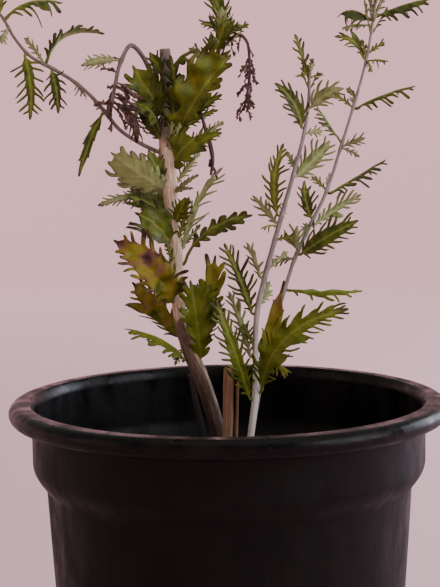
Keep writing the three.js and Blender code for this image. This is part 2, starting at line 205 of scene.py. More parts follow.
def makeCompost(settings):
    material, add, surface = newMaterial("peatCompost", {"IOR": 1.4, "Roughness": 0.95})
    place = add("ShaderNodeTexCoord").outputs["Object"]
    tint = add("ShaderNodeAttribute", {"attribute_name": "tint"}).outputs["Fac"]
    crumb = add(
        "ShaderNodeTexNoise",
        {"Scale": perMm(settings["crumb"]), "Detail": 8, "Roughness": 0.7}, {"Vector": place},
    )
    grain = add("ShaderNodeTexVoronoi", {"Scale": perMm(settings["grain"])}, {"Vector": place})
    level, height = [
        add("ShaderNodeMath", {"operation": "ADD"}, {0: crumb, 1: each})
        for each in (tint, grain)
    ]
    colour = add(
        "ShaderNodeValToRGB",
        {"stops": {0.35: settings["dark"], 0.68: settings["light"], 1.0: settings["grit"]}}, {"Fac": level},
    )
    bump = add(
        "ShaderNodeBump", {"Strength": 0.7, "Distance": settings["relief"] * mm}, {"Height": height},
    )
    linkTo(surface, {"Base Color": colour, "Normal": bump})
    return material


# Every stem and the stake carry a "grain" coordinate in mm: round the stem in x and y, along it
# in z. Fibres are noise drawn out along z. "wear" is 0 on sound skin and 1 where it is gone,
# "second" is where its skin changes, to this year's on old bark and to thick pale down on the foot
# of a new shoot, a paleness that is partly painted light on a foot in the pot's shade, and the stain
# mask is where soil has splashed on it, deepened inside the pot as painted shade.
def fibreMaterial(name, settings):
    material, add, surface = newMaterial(
        name, {"IOR": 1.45, "Sheen Weight": settings["sheen"], "Sheen Roughness": 0.5},
    )
    grain = add("ShaderNodeAttribute", {"attribute_name": "grain"}).outputs["Vector"]
    wear, second, stain = [
        add("ShaderNodeAttribute", {"attribute_name": each}).outputs["Fac"]
        for each in ("wear", "second", "stain")
    ]
    drawn = add(
        "ShaderNodeMapping", {"Scale": (1, 1, settings["fibreWidth"] / settings["fibreLength"])},
        {"Vector": grain},
    )
    fibre = add(
        "ShaderNodeTexNoise",
        {"Scale": 1 / settings["fibreWidth"], "Detail": 6, "Roughness": 0.65}, {"Vector": drawn},
    )
    mottle = add(
        "ShaderNodeTexNoise",
        {"Scale": 1 / settings["mottle"], "Detail": 4, "Roughness": 0.6}, {"Vector": grain},
    )
    skin, bare = [
        add(
            "ShaderNodeValToRGB",
            {"stops": {place: settings[colour] for place, colour in stops.items()}}, {"Fac": fibre},
        )
        for stops in ({0.32: "dark", 0.52: "colour", 0.72: "light"}, {0.35: "bareDark", 0.62: "bare"})
    ]
    colour = add(
        "ShaderNodeMix",
        {"data_type": "RGBA", "blend_type": "MULTIPLY", 0: settings["mottling"]}, {6: skin, 7: mottle},
    )
    colour = add("ShaderNodeMix", {"data_type": "RGBA"}, {0: wear, 6: colour, 7: bare})
    # the dark soil colour is both soil and painted shade on whatever stands inside the pot
    for share, title in ((second, "second"), (stain, "soil")):
        colour = add("ShaderNodeMix", {"data_type": "RGBA", 7: settings[title]}, {0: share, 6: colour})
    roughness = add(
        "ShaderNodeMapRange",
        {"To Min": settings["roughness"] - 0.1, "To Max": settings["roughness"] + 0.1}, {"Value": fibre},
    )
    bump = add(
        "ShaderNodeBump", {"Strength": 0.6, "Distance": settings["relief"] * mm}, {"Height": fibre},
    )
    linkTo(surface, {"Base Color": colour, "Roughness": roughness, "Normal": bump})
    return material


# Old sage bark: grey-brown strings of cork, worn away down to smooth pinkish-tan wood, mostly on the side
# that the lights fall on, so the pale wood is partly painted light
barkSettings = {
    "dark": "#49352b", "colour": "#7d6553", "light": "#a39081",
    "bareDark": "#a1876a", "bare": "#d8c8aa", "second": "#756a62", "soil": "#17100d",
    "fibreWidth": 0.7, "fibreLength": 7, "mottle": 6, "mottling": 0.45,
    "roughness": 0.82, "relief": 0.35, "sheen": 0.0,
}
# Young sage shoot: green bark under a short dense white down, which reads as soft silver grey
feltSettings = {
    "dark": "#67605a", "colour": "#8c847d", "light": "#aea69e",
    # the second colour is pale down on a shoot's foot, partly painted light for a foot in the pot's shade
    "bareDark": "#6c5a54", "bare": "#877770", "second": "#c6c1b4", "soil": "#2a221c",
    "fibreWidth": 0.35, "fibreLength": 3.5, "mottle": 7, "mottling": 0.35,
    "roughness": 0.8, "relief": 0.12, "sheen": 0.12,
}
# Last year's side shoot: the down has worn thin, and brown bark shows through it
wornFeltSettings = {**feltSettings, "dark": "#54463c", "colour": "#75665a", "light": "#968779"}
# Dead sage shoot: the down is gone and the dry bark is mauve-grey, stringy and dull
dryShootSettings = {
    "dark": "#42352f", "colour": "#6f6058", "light": "#94857b",
    "bareDark": "#5d4c40", "bare": "#85715f", "second": "#6f6058", "soil": "#2a201a",
    "fibreWidth": 0.5, "fibreLength": 7, "mottle": 5, "mottling": 0.3,
    "roughness": 0.85, "relief": 0.2, "sheen": 0.05,
}
# Shrivelled stalk: papery, thin and nearly black-brown
shrivelSettings = {
    "dark": "#2c1c18", "colour": "#4e3a32", "light": "#7a645b",
    "bareDark": "#2a1e1c", "bare": "#46362f", "second": "#483634", "soil": "#1a1211",
    "fibreWidth": 0.4, "fibreLength": 3, "mottle": 4, "mottling": 0.3,
    "roughness": 0.85, "relief": 0.15, "sheen": 0.0,
}
# Cleft softwood label stake, weathered: straight grain, tan, darker and furred at the split
stakeWoodSettings = {
    "dark": "#6b4935", "colour": "#a57c5d", "light": "#cba789",
    "bareDark": "#4c3020", "bare": "#6e4e37", "second": "#a57c5d", "soil": "#241813",
    "fibreWidth": 0.5, "fibreLength": 16, "mottle": 9, "mottling": 0.3,
    "roughness": 0.78, "relief": 0.2, "sheen": 0.0,
}

# Sage leaf: the upper side is a waxy puckered olive, the under side is felted and shows raised
# ribs. "dry" runs from 0, fresh, past yellow to 1, dead and papery. "scorch" is how far a finger
# has gone dark. "rib" is mm to the nearest vein, and "tone" makes one leaf lighter than the next.
leafUpperSettings = {
    "fresh": "#262f00", "freshLight": "#5e6c07", "yellowGreen": "#666a08", "yellow": "#7d7016",
    "brown": "#745642", "dead": "#3a2b28", "scorched": "#261b12",
    "rib": "#828c38", "gloss": 0.3, "ribWidth": 0.5, "roughness": 0.5, "sheen": 0.03,
    "wrinkle": 1.5, "relief": 0.4,
}
leafUnderSettings = {
    "fresh": "#566230", "freshLight": "#828f55", "yellowGreen": "#787c34", "yellow": "#84773a",
    "brown": "#75604f", "dead": "#4e3f44", "scorched": "#3d3226",
    "rib": "#97a070", "gloss": 0.2, "ribWidth": 0.7, "roughness": 0.85, "sheen": 0.07,
    "wrinkle": 0.8, "relief": 0.15,
}


def leafMaterial(name, settings):
    material, add, surface = newMaterial(name, {
        "IOR": 1.42, "Specular IOR Level": settings["gloss"],
        "Sheen Weight": settings["sheen"], "Sheen Roughness": 0.45,
    })
    place = add("ShaderNodeTexCoord").outputs["Object"]
    dry, rib, tone, scorch = [
        add("ShaderNodeAttribute", {"attribute_name": each}).outputs["Fac"]
        for each in ("dry", "rib", "tone", "scorch")
    ]
    wrinkle, patch = [
        add(
            "ShaderNodeTexNoise",
            {"Scale": perMm(size), "Detail": detail, "Roughness": 0.6}, {"Vector": place},
        )
        for size, detail in ((settings["wrinkle"], 4), (settings["wrinkle"] * 5, 5))
    ]
    mottled = add("ShaderNodeMapRange", {"From Min": 0.3, "From Max": 0.72}, {"Value": patch})
    light = add("ShaderNodeMath", {"operation": "ADD", "use_clamp": True}, {0: mottled, 1: tone})
    fresh = add(
        "ShaderNodeMix",
        {"data_type": "RGBA", 6: settings["fresh"], 7: settings["freshLight"]}, {0: light},
    )
    veined = add(
        "ShaderNodeMapRange",
        {"From Min": 0, "From Max": settings["ribWidth"], "To Min": 0.7, "To Max": 0}, {"Value": rib},
    )
    ribbed = add("ShaderNodeMix", {"data_type": "RGBA", 7: settings["rib"]}, {0: veined, 6: fresh})
    # the edge of a dry patch follows the wrinkles
    rag = add("ShaderNodeMath", {"operation": "MULTIPLY_ADD", 1: 0.3, 2: -0.15}, {0: wrinkle})
    dryness = add("ShaderNodeMath", {"operation": "ADD", "use_clamp": True}, {0: dry, 1: rag})
    dying = add(
        "ShaderNodeValToRGB",
        {"stops": {
            0.25: settings["yellowGreen"], 0.48: settings["yellow"],
            0.72: settings["brown"], 0.95: settings["dead"],
        }},
        {"Fac": dryness},
    )
    turned = add("ShaderNodeMapRange", {"From Min": 0.08, "From Max": 0.34}, {"Value": dryness})
    colour = add("ShaderNodeMix", {"data_type": "RGBA"}, {0: turned, 6: ribbed, 7: dying})
    darkened = add(
        "ShaderNodeMix", {"data_type": "RGBA", 7: settings["scorched"]}, {0: scorch, 6: colour},
    )
    roughness = add(
        "ShaderNodeMapRange", {"To Min": settings["roughness"], "To Max": 0.9}, {"Value": dryness},
    )
    bump = add(
        "ShaderNodeBump", {"Strength": 0.7, "Distance": settings["relief"] * mm}, {"Height": wrinkle},
    )
    linkTo(surface, {"Base Color": darkened, "Roughness": roughness, "Normal": bump})
    return material


plastic = makePlastic(plasticSettings)
compost = makeCompost(compostSettings)
sageBark = fibreMaterial("peelingSageBark", barkSettings)
sageFelt = fibreMaterial("downySageShoot", feltSettings)
wornFelt = fibreMaterial("wornSageShoot", wornFeltSettings)
dryShoot = fibreMaterial("drySageShoot", dryShootSettings)
shrivelled = fibreMaterial("shrivelledStalk", shrivelSettings)
stakeWood = fibreMaterial("cleftSoftwood", stakeWoodSettings)
leafUpper = leafMaterial("sageLeafUpperSide", leafUpperSettings)
leafUnder = leafMaterial("sageLeafUnderSide", leafUnderSettings)
print("materials made")


def makePiece(name, points, faces, materials, nodes=(), values=None, facing=None):
    mesh = bpy.data.meshes.new(name)
    mesh.from_pydata((np.asarray(points) * mm).tolist(), [], faces)
    for material in materials:
        mesh.materials.append(material)
    if facing is not None:
        mesh.polygons.foreach_set("material_index", facing)
    for title, each in (values or {}).items():
        each = np.asarray(each, np.float32)
        flat = each.ndim == 1
        layer = mesh.attributes.new(title, "FLOAT" if flat else "FLOAT_VECTOR", "POINT")
        layer.data.foreach_set("value" if flat else "vector", each.ravel())
    mesh.validate()
    mesh.shade_smooth()
    piece = bpy.data.objects.new(name, mesh)
    bpy.context.scene.collection.objects.link(piece)
    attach(piece, "root")
    if nodes:
        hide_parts(*nodes)
    return piece


def roughAt(points, size, seed=0):  # smooth noise from -1 to 1, in bumps of that size in mm
    shift = Vector((seed * 7.31, seed * 3.17, seed * 5.73))
    return np.array([noise.noise(Vector(point) / size + shift) for point in points])


def unit(vectors):
    return vectors / np.maximum(np.linalg.norm(vectors, axis=-1, keepdims=True), 1e-9)


def softStep(values, low, high):
    share = np.clip((values - low) / (high - low), 0, 1)
    return share * share * (3 - 2 * share)


def welded(node):  # a node's corners in mm, and which corners each one is joined to
    mesh = frame["nodes"][node].data
    corners, number = {}, []
    for vertex in mesh.vertices:
        key = tuple(round(c / mm, 3) for c in vertex.co)
        number.append(corners.setdefault(key, len(corners)))
    joined = [set() for _ in corners]
    for a, b in (edge.vertices for edge in mesh.edges):
        if number[a] != number[b]:
            joined[number[a]].add(number[b])
            joined[number[b]].add(number[a])
    return np.array(list(corners)), joined


def lengthsAlong(line):
    return np.concatenate([[0], np.cumsum(np.linalg.norm(np.diff(line, axis=0), axis=1))])


def readAt(places, along, values):  # each column of the values, at these places along them
    return np.stack([np.interp(places, along, column) for column in values.T], 1)


def smoothLine(points, step):  # an even run of points on a smooth curve through these
    points = np.asarray(points, float)
    padded = np.vstack([2 * points[0] - points[1], points, 2 * points[-1] - points[-2]])
    run = []
    for a, b, c, d in zip(padded, padded[1:], padded[2:], padded[3:]):
        for t in np.linspace(0, 1, 12, endpoint=False):
            bend, swing = 2 * a - 5 * b + 4 * c - d, 3 * b - a - 3 * c + d
            run.append(0.5 * (2 * b + (c - a) * t + bend * t**2 + swing * t**3))
    run = np.array(run + [points[-1]])
    along = lengthsAlong(run)
    places = np.linspace(0, along[-1], max(4, round(along[-1] / step) + 1))
    return readAt(places, along, run)


def framesAlong(line):  # two directions square to the line, carried along it without twisting
    along = unit(np.gradient(line, axis=0))
    start = np.array([1.0, 0, 0]) if abs(along[0][0]) < 0.8 else np.array([0, 1.0, 0])
    first = [unit(start - along[0] * (start @ along[0]))]
    for direction in along[1:]:
        last = first[-1]
        first.append(unit(last - direction * (last @ direction)))
    first = np.array(first)
    return first, np.cross(along, first)


def roundLine(line, sides):  # of each point on a tube: its angle, its mm along, its way outward
    across, over = framesAlong(line)
    turns = np.tile(np.linspace(0, 2 * math.pi, sides, endpoint=False), (len(line), 1))
    runs = np.tile(lengthsAlong(line)[:, None], (1, sides))
    outward = across[:, None] * np.cos(turns)[..., None] + over[:, None] * np.sin(turns)[..., None]
    return turns, runs, outward


def sweep(line, radii, sides, relief):
    # relief gives the mm added to the radius from the angles, the mm along and the ways outward
    turns, runs, outward = roundLine(line, sides)
    reach = np.asarray(radii)[:, None] + relief(turns, runs, outward)
    points = (line[:, None] + outward * reach[..., None]).reshape(-1, 3)
    base = np.asarray(radii)[:, None]
    grain = np.stack([np.cos(turns) * base, np.sin(turns) * base, runs], -1).reshape(-1, 3)
    return points, grain, ringFaces(len(line), sides)


def closeEnds(points, grain, faces, sides, line, dome):
    # each end gets a smaller ring and a middle point, set out by the dome's height
    smaller, rise = 0.6, 0.75
    points, grain = list(points), list(grain)
    count = len(line)
    for ring, outward in ((0, line[0] - line[1]), (count - 1, line[-1] - line[-2])):
        outward = outward / np.linalg.norm(outward)
        edge = [ring * sides + j for j in range(sides)]
        centre = np.mean([points[i] for i in edge], 0)
        inner = []
        for i in edge:
            inner.append(len(points))
            points.append(centre + (points[i] - centre) * smaller + outward * dome * rise)
            grain.append(grain[i] * np.array([smaller, smaller, 1]))
        middle = len(points)
        points.append(centre + outward * dome)
        grain.append(grain[edge[0]] * np.array([0, 0, 1]))
        for j in range(sides):
            k = (j + 1) % sides
            quad = (edge[j], edge[k], inner[k], inner[j])
            cap = (inner[j], inner[k], middle)
            faces.append(quad[::-1] if ring == 0 else quad)
            faces.append(cap[::-1] if ring == 0 else cap)
    return np.array(points), np.array(grain), faces


def ringPoints(rings, sides):  # rings of points round the axis, from a radius and a height each
    angles = np.linspace(0, 2 * math.pi, sides, endpoint=False)
    return [(math.cos(a) * r, math.sin(a) * r, z) for r, z in rings for a in angles]


def ringFaces(rings, sides):  # quads between rings of points, ring by ring
    faces = []
    for i in range(rings - 1):
        for j in range(sides):
            k = (j + 1) % sides
            faces.append((i * sides + j, i * sides + k, (i + 1) * sides + k, (i + 1) * sides + j))
    return faces


def closedFaces(rings, sides):  # and fans from its last and first ring to two middle points
    faces = ringFaces(rings, sides)
    last, middle = (rings - 1) * sides, rings * sides
    for j in range(sides):
        k = (j + 1) % sides
        faces.append((last + j, last + k, middle))
        faces.append((k, j, middle + 1))
    return faces


def insideOf(points, outline):  # which flat points a closed outline holds
    x, y = points[:, 0][:, None], points[:, 1][:, None]
    ax, ay = outline[:, 0], outline[:, 1]
    bx, by = np.roll(ax, -1), np.roll(ay, -1)
    spans = (ay > y) != (by > y)
    crossing = ax + (y - ay) * (bx - ax) / np.where(by == ay, 1e-9, by - ay)
    return (spans & (x < crossing)).sum(1) % 2 == 1


def nearestTo(points, others):  # distance to the nearest of the others, and which it is
    gaps = np.linalg.norm(points[:, None] - others[None], axis=2)
    nearest = gaps.argmin(1)
    return gaps[np.arange(len(points)), nearest], nearest


def evenOutline(points, step, closed=True):
    points = np.asarray(points, float)
    if closed:
        points = np.vstack([points, points[:1]])
    along = lengthsAlong(points)
    places = np.linspace(0, along[-1], max(3, round(along[-1] / step)), endpoint=not closed)
    return readAt(places, along, points)


def fillOutline(outline, ribs, step, rng):
    # triangles over a flat outline, finer along the ribs, which become edges of the mesh
    coords = [tuple(p) for p in outline]
    edges = []
    for rib in ribs:
        first = len(coords)
        coords += [tuple(p) for p in rib]
        edges += [(i, i + 1) for i in range(first, len(coords) - 1)]
    low, high = outline.min(0), outline.max(0)
    grid = [
        (x + rng.uniform(-0.2, 0.2) * step, y + rng.uniform(-0.2, 0.2) * step)
        for x in np.arange(low[0], high[0], step)
        for y in np.arange(low[1], high[1], step)
    ]
    if grid:
        grid = np.array(grid)
        grid = grid[insideOf(grid, outline)]
    if len(grid):
        grid = grid[nearestTo(grid, np.array(coords))[0] > step * 0.55]
        coords += [tuple(p) for p in grid]
    face = list(range(len(outline)))
    points, _, triangles, _, _, _ = delaunay_2d_cdt([Vector(c) for c in coords], edges, [face], 1, 1e-6)
    used = sorted({i for triangle in triangles for i in triangle})
    place = {old: new for new, old in enumerate(used)}
    points = np.array([points[i][:] for i in used])
    triangles = [tuple(place[i] for i in triangle) for triangle in triangles]
    return points, triangles


def twoSided(triangles, count):
    # the upper side, the under side and the rim between them, and which of them each face is
    edges = {}
    for a, b, c in triangles:
        for pair in ((a, b), (b, c), (c, a)):
            edges[pair] = True
    faces = list(triangles) + [(c + count, b + count, a + count) for a, b, c in triangles]
    rim = [(b, a, a + count, b + count) for a, b in edges if (b, a) not in edges]
    facing = [0] * len(triangles) + [1] * len(triangles) + [0] * len(rim)
    return faces + rim, facing


potSettings = {
    "sides": 240,
    "lipWidth": 10, "lipDrop": 9.4, "lipThickness": 1.8, "lipOverhang": 11.1,
    "collarDrop": 30, "stepDrop": 12.7, "stepWidth": 6.7, "wallTaper": 8.5,
    "footRounding": 4, "wall": 1.5, "floor": 2.2,
    "drainHoles": 8, "drainRadius": 5, "drainInset": 22,
    "warp": 0.22,  # mm that the thin wall wanders from true
    "nick": {"angle": -90, "width": 2.2, "depth": 0.9},  # a knock in the lip
    "outOfRound": 0.35,
}


def potOutline(settings, height, rimRadius):
    def arc(x, z, radius, start, end, steps):
        turns = np.radians(np.linspace(start, end, steps + 1))
        return [(x + radius * math.cos(t), z + radius * math.sin(t)) for t in turns]

    collar = rimRadius - settings["lipOverhang"]
    shoulder = collar - settings["stepWidth"]
    foot = shoulder - settings["wallTaper"]
    shoulderHeight = height - settings["collarDrop"] - settings["stepDrop"]
    wall = settings["wall"]
    rounding = settings["footRounding"]
    bend = settings["lipDrop"] / 2
    lipMiddle = rimRadius - bend
    thickness = settings["lipThickness"]

    def wallRun(inset, steps=26):
        return [
            (foot + (shoulder - foot) * s - inset, rounding + (shoulderHeight - 1.5 - rounding) * s)
            for s in np.linspace(0.02, 1, steps)
        ]

    def stepRun(inset, steps=14):
        run = []
        for s in np.linspace(0.02, 1, steps):
            bulge = math.sin(s * math.pi / 2)
            z = shoulderHeight + settings["stepDrop"] * s
            run.append((shoulder + (collar - shoulder) * bulge - inset, z))
        return run

    underLip = height - thickness
    outside = arc(foot - rounding, rounding, rounding, -90, 0, 8) + wallRun(0) + stepRun(0)
    outside += [(collar, z) for z in np.linspace(stepRun(0)[-1][1] + 2, underLip - 1.2, 10)]
    outside += arc(collar + 1.2, underLip - 1.2, 1.2, 180, 90, 4)
    outside += arc(lipMiddle, height - bend, bend - thickness, 90, -60, 12)
    outside += arc(
        lipMiddle + (bend - thickness / 2) * math.cos(math.radians(-60)),
        height - bend + (bend - thickness / 2) * math.sin(math.radians(-60)),
        thickness / 2, -240, -60, 6,
    )[1:-1]
    outside += arc(lipMiddle, height - bend, bend, -60, 90, 18)
    innerLip = rimRadius - settings["lipWidth"]
    innerWall = collar - wall
    top = [(x, height) for x in np.linspace(lipMiddle - 1, innerLip + 1, 4)]
    top += arc(innerLip + 0.4, height - 1.2, 1.2, 95, 150, 3)
    top += [(innerWall, z) for z in np.linspace(height - 3.5, stepRun(0)[-1][1] + 2, 10)]
    inside = stepRun(wall)[::-1] + wallRun(wall)[::-1]
    inside += [(foot - wall - 0.3, settings["floor"] + 3), (foot - wall - 1.2, settings["floor"] + 0.8)]
    inside += [(foot - wall - 3, settings["floor"])]
    floorRun = [(r, settings["floor"]) for r in (60, 45, 30, 15, 4)]
    underRun = [(r, 0) for r in (4, 15, 30, 45, 60, foot - rounding - 4)]
    return underRun + outside + top + inside + floorRun


def makePot(settings):
    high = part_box("pot")[1]
    height, rimRadius = high.z / mm, round(high.x / mm)
    outline = potOutline(settings, height, rimRadius)
    sides = settings["sides"]
    angles = np.linspace(0, 2 * math.pi, sides, endpoint=False)
    nick = settings["nick"]
    points, lip = [], []
    for r, z in outline:
        share = z / height
        warp = settings["warp"] * roughAt(
            np.stack([np.cos(angles) * r, np.sin(angles) * r, np.full(sides, z)], 1), 45
        )
        oval = settings["outOfRound"] * share * np.cos(2 * angles + 0.7)
        gap = (np.degrees(angles) - nick["angle"] + 180) % 360 - 180
        knock = np.exp(-((gap / nick["width"]) ** 2)) * nick["depth"]
        knock = knock * float(softStep(r, rimRadius - 4, rimRadius))
        reach = r + (warp + oval) * min(1, share * 3) - knock
        points += list(np.stack([np.cos(angles) * reach, np.sin(angles) * reach, np.full(sides, z)], 1))
        lip += [float(softStep(z, height - 12, height - 3))] * sides
    faces = closedFaces(len(outline), sides)
    points += [np.array([0, 0, settings["floor"]]), np.array([0, 0, 0])]
    lip += [0, 0]
    pot = makePiece("nurseryPot", points, faces, [plastic], ["pot"], {"lip": lip})
    drillHoles(pot, settings, rimRadius)


def drillHoles(pot, settings, rimRadius):
    foot = rimRadius - settings["lipOverhang"] - settings["stepWidth"] - settings["wallTaper"]
    drill = bmesh.new()
    for i in range(settings["drainHoles"]):
        angle = 2 * math.pi * i / settings["drainHoles"]
        place = Vector((math.cos(angle), math.sin(angle), 0)) * (foot - settings["drainInset"]) * mm
        bmesh.ops.create_cone(
            drill, cap_ends=True, segments=32, radius1=settings["drainRadius"] * mm,
            radius2=settings["drainRadius"] * mm, depth=4 * settings["floor"] * mm,
            matrix=Matrix.Translation(place),
        )
    cutterMesh = bpy.data.meshes.new("drill")
    drill.to_mesh(cutterMesh)
    drill.free()
    cutter = bpy.data.objects.new("drill", cutterMesh)
    bpy.context.scene.collection.objects.link(cutter)
    cut = pot.modifiers.new("drain", "BOOLEAN")
    cut.object = cutter
    cut.solver = "EXACT"
    evaluated = pot.evaluated_get(bpy.context.evaluated_depsgraph_get())
    holed = bpy.data.meshes.new_from_object(evaluated)
    pot.modifiers.clear()
    pot.data = holed
    bpy.data.objects.remove(cutter)


makePot(potSettings)
print("pot turned")


# What a stem grows on, how square its section is, how much its nodes swell, how thick it is along
# its length against the imported stem ("gauge"), and its skin. "second" and "peeled" say where its
# skin changes, in mm above the potting mix, and the soil-and-shade pair says how dark its foot and
# its top are, from soil and from painted shade inside the pot.
# A side shoot starts inside the stem that it grows on.
stemSettings = {
    "woody_stem": {
        "skin": sageBark, "sides": 44, "square": 0.03, "swell": 0.08, "bark": 0.3, "cut": True,
        "gauge": (1.0, 1.15, 1.1, 1.2), "soil": (0.6, 0), "second": (166, 190), "peeled": (72, 94),
    },
    # the stub is darkened nearly all over as painted shade, since it stands in shadow
    "dead_stub": {
        "skin": sageBark, "sides": 30, "square": 0.03, "swell": 0.1, "bark": 0.4, "gauge": (1, 0.6),
        "soil": (1, 0.85), "peeled": (300, 400),
    },
    "front_shoot": {
        "skin": sageFelt, "sides": 32, "square": 0.07, "swell": 0.12, "gauge": (0.92, 0.85, 0.85, 1),
        # pale foot below about 50 mm: thick down, partly painted light where the foot stands in the pot's
        # shade
        "second": (112, 50),
    },
    "back_shoot": {"skin": sageFelt, "sides": 32, "square": 0.07, "swell": 0.3, "gauge": (0.9, 0.8)},
    "arching_branch": {
        "skin": wornFelt, "sides": 24, "square": 0.08, "swell": 0.3, "on": "woody_stem",
        "gauge": (0.85, 0.8),
    },
    "bent_dry_shoot": {"skin": dryShoot, "sides": 24, "square": 0.1, "swell": 0.3, "on": "woody_stem"},
    "crown_shoot": {"skin": wornFelt, "sides": 24, "square": 0.08, "swell": 0.3, "on": "woody_stem"},
    "withered_spray": {
        "skin": shrivelled, "sides": 14, "square": 0.15, "swell": 0.3, "on": "crown_shoot",
    },
    "dry_strand": {
        "skin": shrivelled, "sides": 18, "square": 0.15, "swell": 0.2, "on": "crown_shoot",
        "gauge": (0.8, 0.8, 1.3, 1.5, 1),
    },
}
ringStep = 0.8  # mm of stem to one ring


def readStem(node, settings, grown):
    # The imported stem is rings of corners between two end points, which are joined to a whole ring
    points, joined = welded(node)
    ends = [i for i, near in enumerate(joined) if len(near) >= 8]
    if "on" in settings:
        parent = grown[settings["on"]]["line"]
        ends.sort(key=lambda i: np.linalg.norm(parent - points[i], axis=1).min())
    else:
        ends.sort(key=lambda i: points[i][2])
    seen, ring, centres, radii = {ends[0]}, joined[ends[0]], [], []
    while len(ring) > 1:
        corners = points[sorted(ring)]
        centres.append(corners.mean(0))
        radii.append(np.linalg.norm(corners - centres[-1], axis=1).mean())
        seen |= ring
        ring = set().union(*(joined[i] for i in ring)) - seen
    if "on" in settings:
        nearest = np.linalg.norm(parent - centres[0], axis=1).argmin()
        centres.insert(0, parent[nearest])
        radii.insert(0, radii[0] * 1.25)
    along = lengthsAlong(np.array(centres))
    line = smoothLine(centres, ringStep)
    run = lengthsAlong(line)
    gauge = settings.get("gauge", (1, 1))
    radii = np.interp(run * along[-1] / run[-1], along, radii)
    radii = radii * np.interp(run, np.linspace(0, run[-1], len(gauge)), gauge)
    return {"line": line, "along": run, "radii": radii, "nodes": []}


stems = {}
for node, settings in stemSettings.items():
    stems[node] = readStem(node, settings, stems)


def readLeaf(node, stemLine):
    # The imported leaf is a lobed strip: its ends give the foot and the tip, a curve through it
    # the arch, and its raised edges the upper side
    points = welded(node)[0]
    middle = points.mean(0)
    axis = np.linalg.svd(points - middle)[2][0]
    order = np.argsort((points - middle) @ axis)
    low, high = points[order[:6]].mean(0), points[order[-6:]].mean(0)
    gaps = [np.linalg.norm(stemLine - end, axis=1).min() for end in (low, high)]
    foot, tip = (low, high) if gaps[0] < gaps[1] else (high, low)
    control = (foot + tip) / 2
    for _ in range(6):
        run = np.linspace(0, 1, 60)[:, None]
        curve = foot * (1 - run) ** 2 + control * 2 * run * (1 - run) + tip * run**2
        share = nearestTo(points, curve)[1] / 59
        pull = 2 * share * (1 - share)
        rest = points - np.outer((1 - share) ** 2, foot) - np.outer(share**2, tip)
        control = (rest * pull[:, None]).sum(0) / (pull**2).sum()
    tangent = unit(tip - foot)
    spread = points - curve[nearestTo(points, curve)[1]]
    spread -= np.outer(spread @ tangent, tangent)
    side = np.linalg.svd(spread)[2][0]
    upper = unit(np.cross(tangent, side))
    across = np.abs(spread @ side)
    lift = spread @ upper
    if np.polyfit(across, lift, 1)[0] < 0:
        upper = -upper
    return {"foot": foot, "control": control, "tip": tip, "upper": upper, "width": 2 * across.max()}


leafForm = {
    "stalkShare": 0.1,
    "stalkWidth": 1.25,
    "stalkDepth": 1.0,
    "widest": 0.36,  # where along the blade
    "bladeShare": 0.33,  # of the half width that isn't cut into fingers
    "widen": 1.0,
    "sides": (1.0, 1.0),  # share of the width on its left half and its right half
    "halves": (0.85, 1.15),  # how one half of the leaf may differ from the other
    "fingerReach": 1.4,  # how far the fingers stand out past the plain strip in the frame
    "fingerPitch": 3.9,
    "pitchVariety": 0.24,
    "fingerWidth": 1.15,
    "fingerTaper": (1.15, 0.8),
    "fingerLean": (60, 34),  # degrees off the midrib, at the foot and at the tip
    "fingerSweep": (-12, 40),  # degrees that a finger bends forward
    "depth": 0.42,  # of the blade
    "fold": 0.1,
    "roll": 16,  # degrees that each half rolls up
    "wave": 0.8,
    "fingerCurl": 0.06,
    "crumple": 0.3,
    "pucker": 0.16,  # between the veins
    "veinGroove": 0.2,  # on the upper side
    "veinRidge": 0.3,  # on the under side
    "twist": 22,  # degrees either way
    "dry": 0.0,
    "tipward": 0.0,  # drier towards the tip
    "patch": 0.04,  # how far dry patches stand out of the rest
    "scorch": 0.75,
    "margin": 0.15,  # how dark the margin has gone between the fingers
    "tone": -0.08,
}
# What differs on the four kinds of leaf, on the old woody stem and on a leaf held flat, whose
# halves hang down
leafKinds = {
    "leaf_green": {},
    "leaf_grey": {"fold": 0.06, "roll": 12, "scorch": 0.4},
    "leaf_yellow": {"dry": 0.26, "patch": 0.2, "fold": 0.08},
    "withered": {
        "dry": 0.62, "patch": 0.35, "crumple": 1.6, "roll": 55, "fingerCurl": 0.14, "fingerWidth": 0.9,
        "scorch": 1.0, "margin": 0.95,
    },
}
oldForm = {
    "bladeShare": 0.74, "fingerReach": 1.12, "fingerWidth": 2.8, "fingerPitch": 5.4,
    "fingerTaper": (1.2, 0.8), "pitchVariety": 0.32, "fingerLean": (50, 30), "wave": 1.4,
    "crumple": 1.0, "halves": (0.7, 1.2), "widest": 0.56, "tone": 0.0, "margin": 0.35,
}
flatForm = {"roll": -30, "fold": -0.8, "fingerCurl": -0.03}
